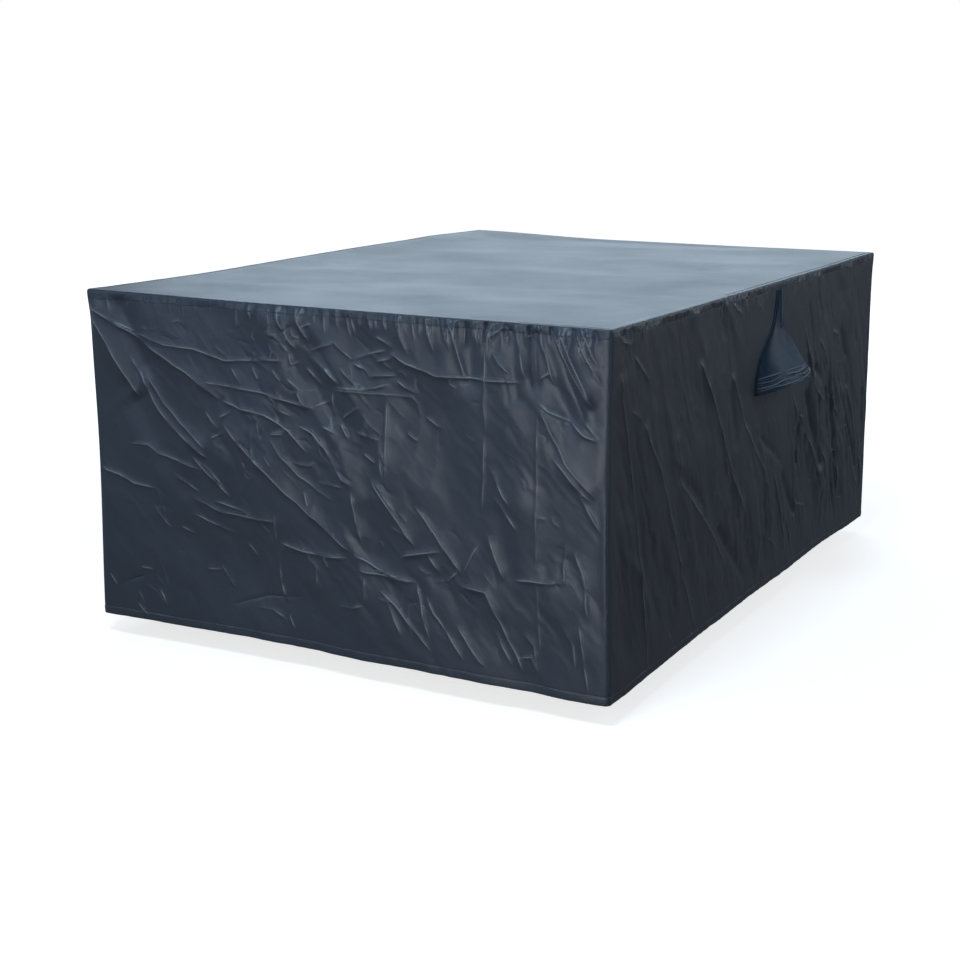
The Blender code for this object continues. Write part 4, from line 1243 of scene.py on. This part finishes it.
def hood_relief(across, half, drop, body):
    """How far the hood's rows and pleat stand out, and the crease's line that is nearest."""
    to_mouth = MOUTH - drop
    bulge = np.zeros(len(drop))
    line = np.zeros(len(drop))
    off = np.full(len(drop), Creased.NO_LINE)
    for number, above in enumerate(SHIRR_ROWS):
        stray = wavers(across, across * 0, SHIRR_STRAY._replace(seed=SHIRR_STRAY.seed + number))
        from_row = to_mouth - above - stray
        fuller = wavers(across, across * 0, SHIRR_FULL._replace(seed=SHIRR_FULL.seed + number))
        strength = body * np.clip(SHIRR_MEAN + fuller, 0, 1.2)
        bulge += SHIRR_RISE * hump(from_row, SHIRR_HALF) * strength
        nearer = np.abs(from_row) < np.abs(off)
        off = np.where(nearer, from_row, off)
        line = np.where(nearer, strength, line)
    pucker = waver(across * MOUTH_HALF, to_mouth * 0.4, SHIRR_PUCKER.size, SHIRR_PUCKER.seed)
    bulge += SHIRR_PUCKER.rise * hump(to_mouth - SHIRR_MIDDLE, SHIRR_MIDDLE) * pucker
    pleat = 1 - smooth((drop - PLEAT_END) / PLEAT_FADE)
    ridge = hump(across * half, PLEAT_HALF)
    bulge += PLEAT_RISE * pleat * ridge - PLEAT_RISE * ridge * hump(drop - PINCH, PINCH_HALF)
    on_ridge = pleat > 0.05
    off = np.where(on_ridge, across * half, off)
    line = np.where(on_ridge, 0.8 * pleat, line)
    bulge += wavers(across * half, drop, HOOD_LOOSENESS) * body
    return bulge, np.stack([line, off], axis=1)


def make_hood():
    """The hood's cloth, from flange to flange and from the seam to its turned-up mouth."""
    places = np.concatenate([-FLANGE_STEPS[::-1], np.linspace(0, math.pi, 97), math.pi + FLANGE_STEPS])
    levels = np.linspace(0, 1, 130)[::-1]
    share = np.concatenate([1 + TUCK_SHARE, levels])
    behind = np.concatenate([TUCK, np.zeros(len(levels))])
    mesh = bmesh.new()
    verts, column, row = add_grid(mesh, len(places), len(share))
    place, share, behind = places[column], share[row], behind[row]
    angle = np.clip(place, 0, math.pi)
    flange = place - angle
    across = np.cos(angle)
    drop, half, lift, rise = (through(values, share) for values in zip(*HOOD_SECTIONS))
    bulge, lines = hood_relief(across, half, drop, np.sin(angle) ** 0.5)

    # the flange's outer edge is pressed down on the wall, and the far side of the mouth is drawn up
    lie = LIE * (1 - 0.8 * (np.abs(flange) > FLANGE_FLAT))
    out = lie + (lift + bulge - behind) * np.sin(angle) ** 0.9
    drawn = smooth((-across - 0.30) / 0.35) * smooth((0.99 + across) / 0.12)
    down = drop - rise * np.sin(angle) - LIP_LIFT * drawn * smooth((drop - LIP_START) / LIP_REACH)
    along = HOOD_ALONG - half * across + flange
    along += behind * across * (flange == 0)
    place_verts(verts, on_wall(RIGHT, along, down, 0.0, out))
    made = cloth_object("hood_cloth", mesh, np.stack([along, drop], axis=1), lines, SHADED_HOOD_CLOTH)
    thick = made.modifiers.new("thickness", "SOLIDIFY")
    thick.thickness = HOOD_THICK
    thick.offset = 0.0
    return made


hood = make_hood()
add_cloth(hood, "vent_hood")

# ---------------------------------------------------------------------------------------------------
# Stage. A pale floor a little below the hem, lit so that it fades to white, in soft light from large
# square lamps on all sides.
FLOOR_GAP = 0.046  # from the hem down to the floor
bpy.ops.mesh.primitive_plane_add(size=60, location=(0, 0, -DROP - FLOOR_GAP))
floor = bpy.context.object
floor.name = "floor"
pale = bpy.data.materials.new("pale_floor")
pale.use_nodes = True
ground = pale.node_tree
paint = ground.nodes["Principled BSDF"]
paint.inputs["Base Color"].default_value = (0.55, 0.55, 0.55, 1)
paint.inputs["Roughness"].default_value = 0.9
paint.inputs["Emission Color"].default_value = (1, 1, 1, 1)
spot = node(ground, "ShaderNodeTexCoord")
away = node(ground, "ShaderNodeVectorMath", [(spot.outputs["Object"], 0)], operation="LENGTH")
glow = node(ground, "ShaderNodeMapRange", [(away.outputs["Value"], "Value")],
            {"From Min": 1.2, "From Max": 3.5, "To Min": 0.74, "To Max": 1.0})
ground.links.new(glow.outputs["Result"], paint.inputs["Emission Strength"])
floor.data.materials.append(pale)
floor.visible_diffuse = False
floor.visible_glossy = False

world = bpy.data.worlds.new("studio")
bpy.context.scene.world = world
world.use_nodes = True
sky = world.node_tree
background = sky.nodes["Background"]
seen = node(sky, "ShaderNodeBackground", values={"Color": (1, 1, 1, 1), "Strength": 1.0})
path = node(sky, "ShaderNodeLightPath")
mixed = node(sky, "ShaderNodeMixShader", [(path.outputs["Is Camera Ray"], 0)])
sky.links.new(background.outputs[0], mixed.inputs[1])
sky.links.new(seen.outputs[0], mixed.inputs[2])
sky.links.new(mixed.outputs[0], sky.nodes["World Output"].inputs["Surface"])
background.inputs["Color"].default_value = (0.80, 0.90, 1.0, 1)
background.inputs["Strength"].default_value = 0.10


def softbox(name, place, aim, size, watts, colour):
    """A square area light that looks at a point."""
    light = bpy.data.lights.new(name, "AREA")
    light.shape = "SQUARE"
    light.size = size
    light.energy = watts
    light.color = colour
    lamp = bpy.data.objects.new(name, light)
    lamp.location = place
    lamp.rotation_euler = (Vector(aim) - Vector(place)).to_track_quat("-Z", "Y").to_euler()
    bpy.context.scene.collection.objects.link(lamp)


softbox("key_left", (-2.0, -3.5, 0.9), (0, -0.8, -0.3), 0.9, 13, (0.74, 0.87, 1.0))
softbox("key_high", (0.30, -2.5, 3.0), (0, -0.8, -0.3), 1.0, 92, (0.62, 0.83, 1.0))
softbox("key_right", (0.62, -2.9, -0.3), (0.4, -0.8, -0.6), 1.0, 17, (0.94, 0.95, 1.0))
softbox("fill", (3.4, 2.85, 1.2), (0.6, 0.8, -0.3), 2.2, 45, (0.82, 0.92, 1.0))
softbox("far_sheen", (-2.15, 4.8, 2.2), (0, 0, 0), 5.0, 152, (0.70, 0.86, 1.0))

# Camera at the photo's angle
AZIMUTH = 28.155
ELEVATION = 13.062
ROLL = 0.310
CAMERA_PLACE = (1.81154, -3.61758, 0.42509)
LENS = 63.67
camera = bpy.data.objects.new("camera", bpy.data.cameras.new("camera"))
camera.data.lens = LENS
camera.data.sensor_width = 36
heading = Matrix.Rotation(math.radians(AZIMUTH), 4, "Z")
pitch = Matrix.Rotation(math.radians(90 - ELEVATION), 4, "X")
lean = Matrix.Rotation(math.radians(ROLL), 4, "Z")
camera.matrix_world = Matrix.Translation(CAMERA_PLACE) @ heading @ pitch @ lean
bpy.context.scene.collection.objects.link(camera)
bpy.context.scene.camera = camera
bpy.context.scene.view_settings.view_transform = "Standard"

bpy.context.view_layer.update()
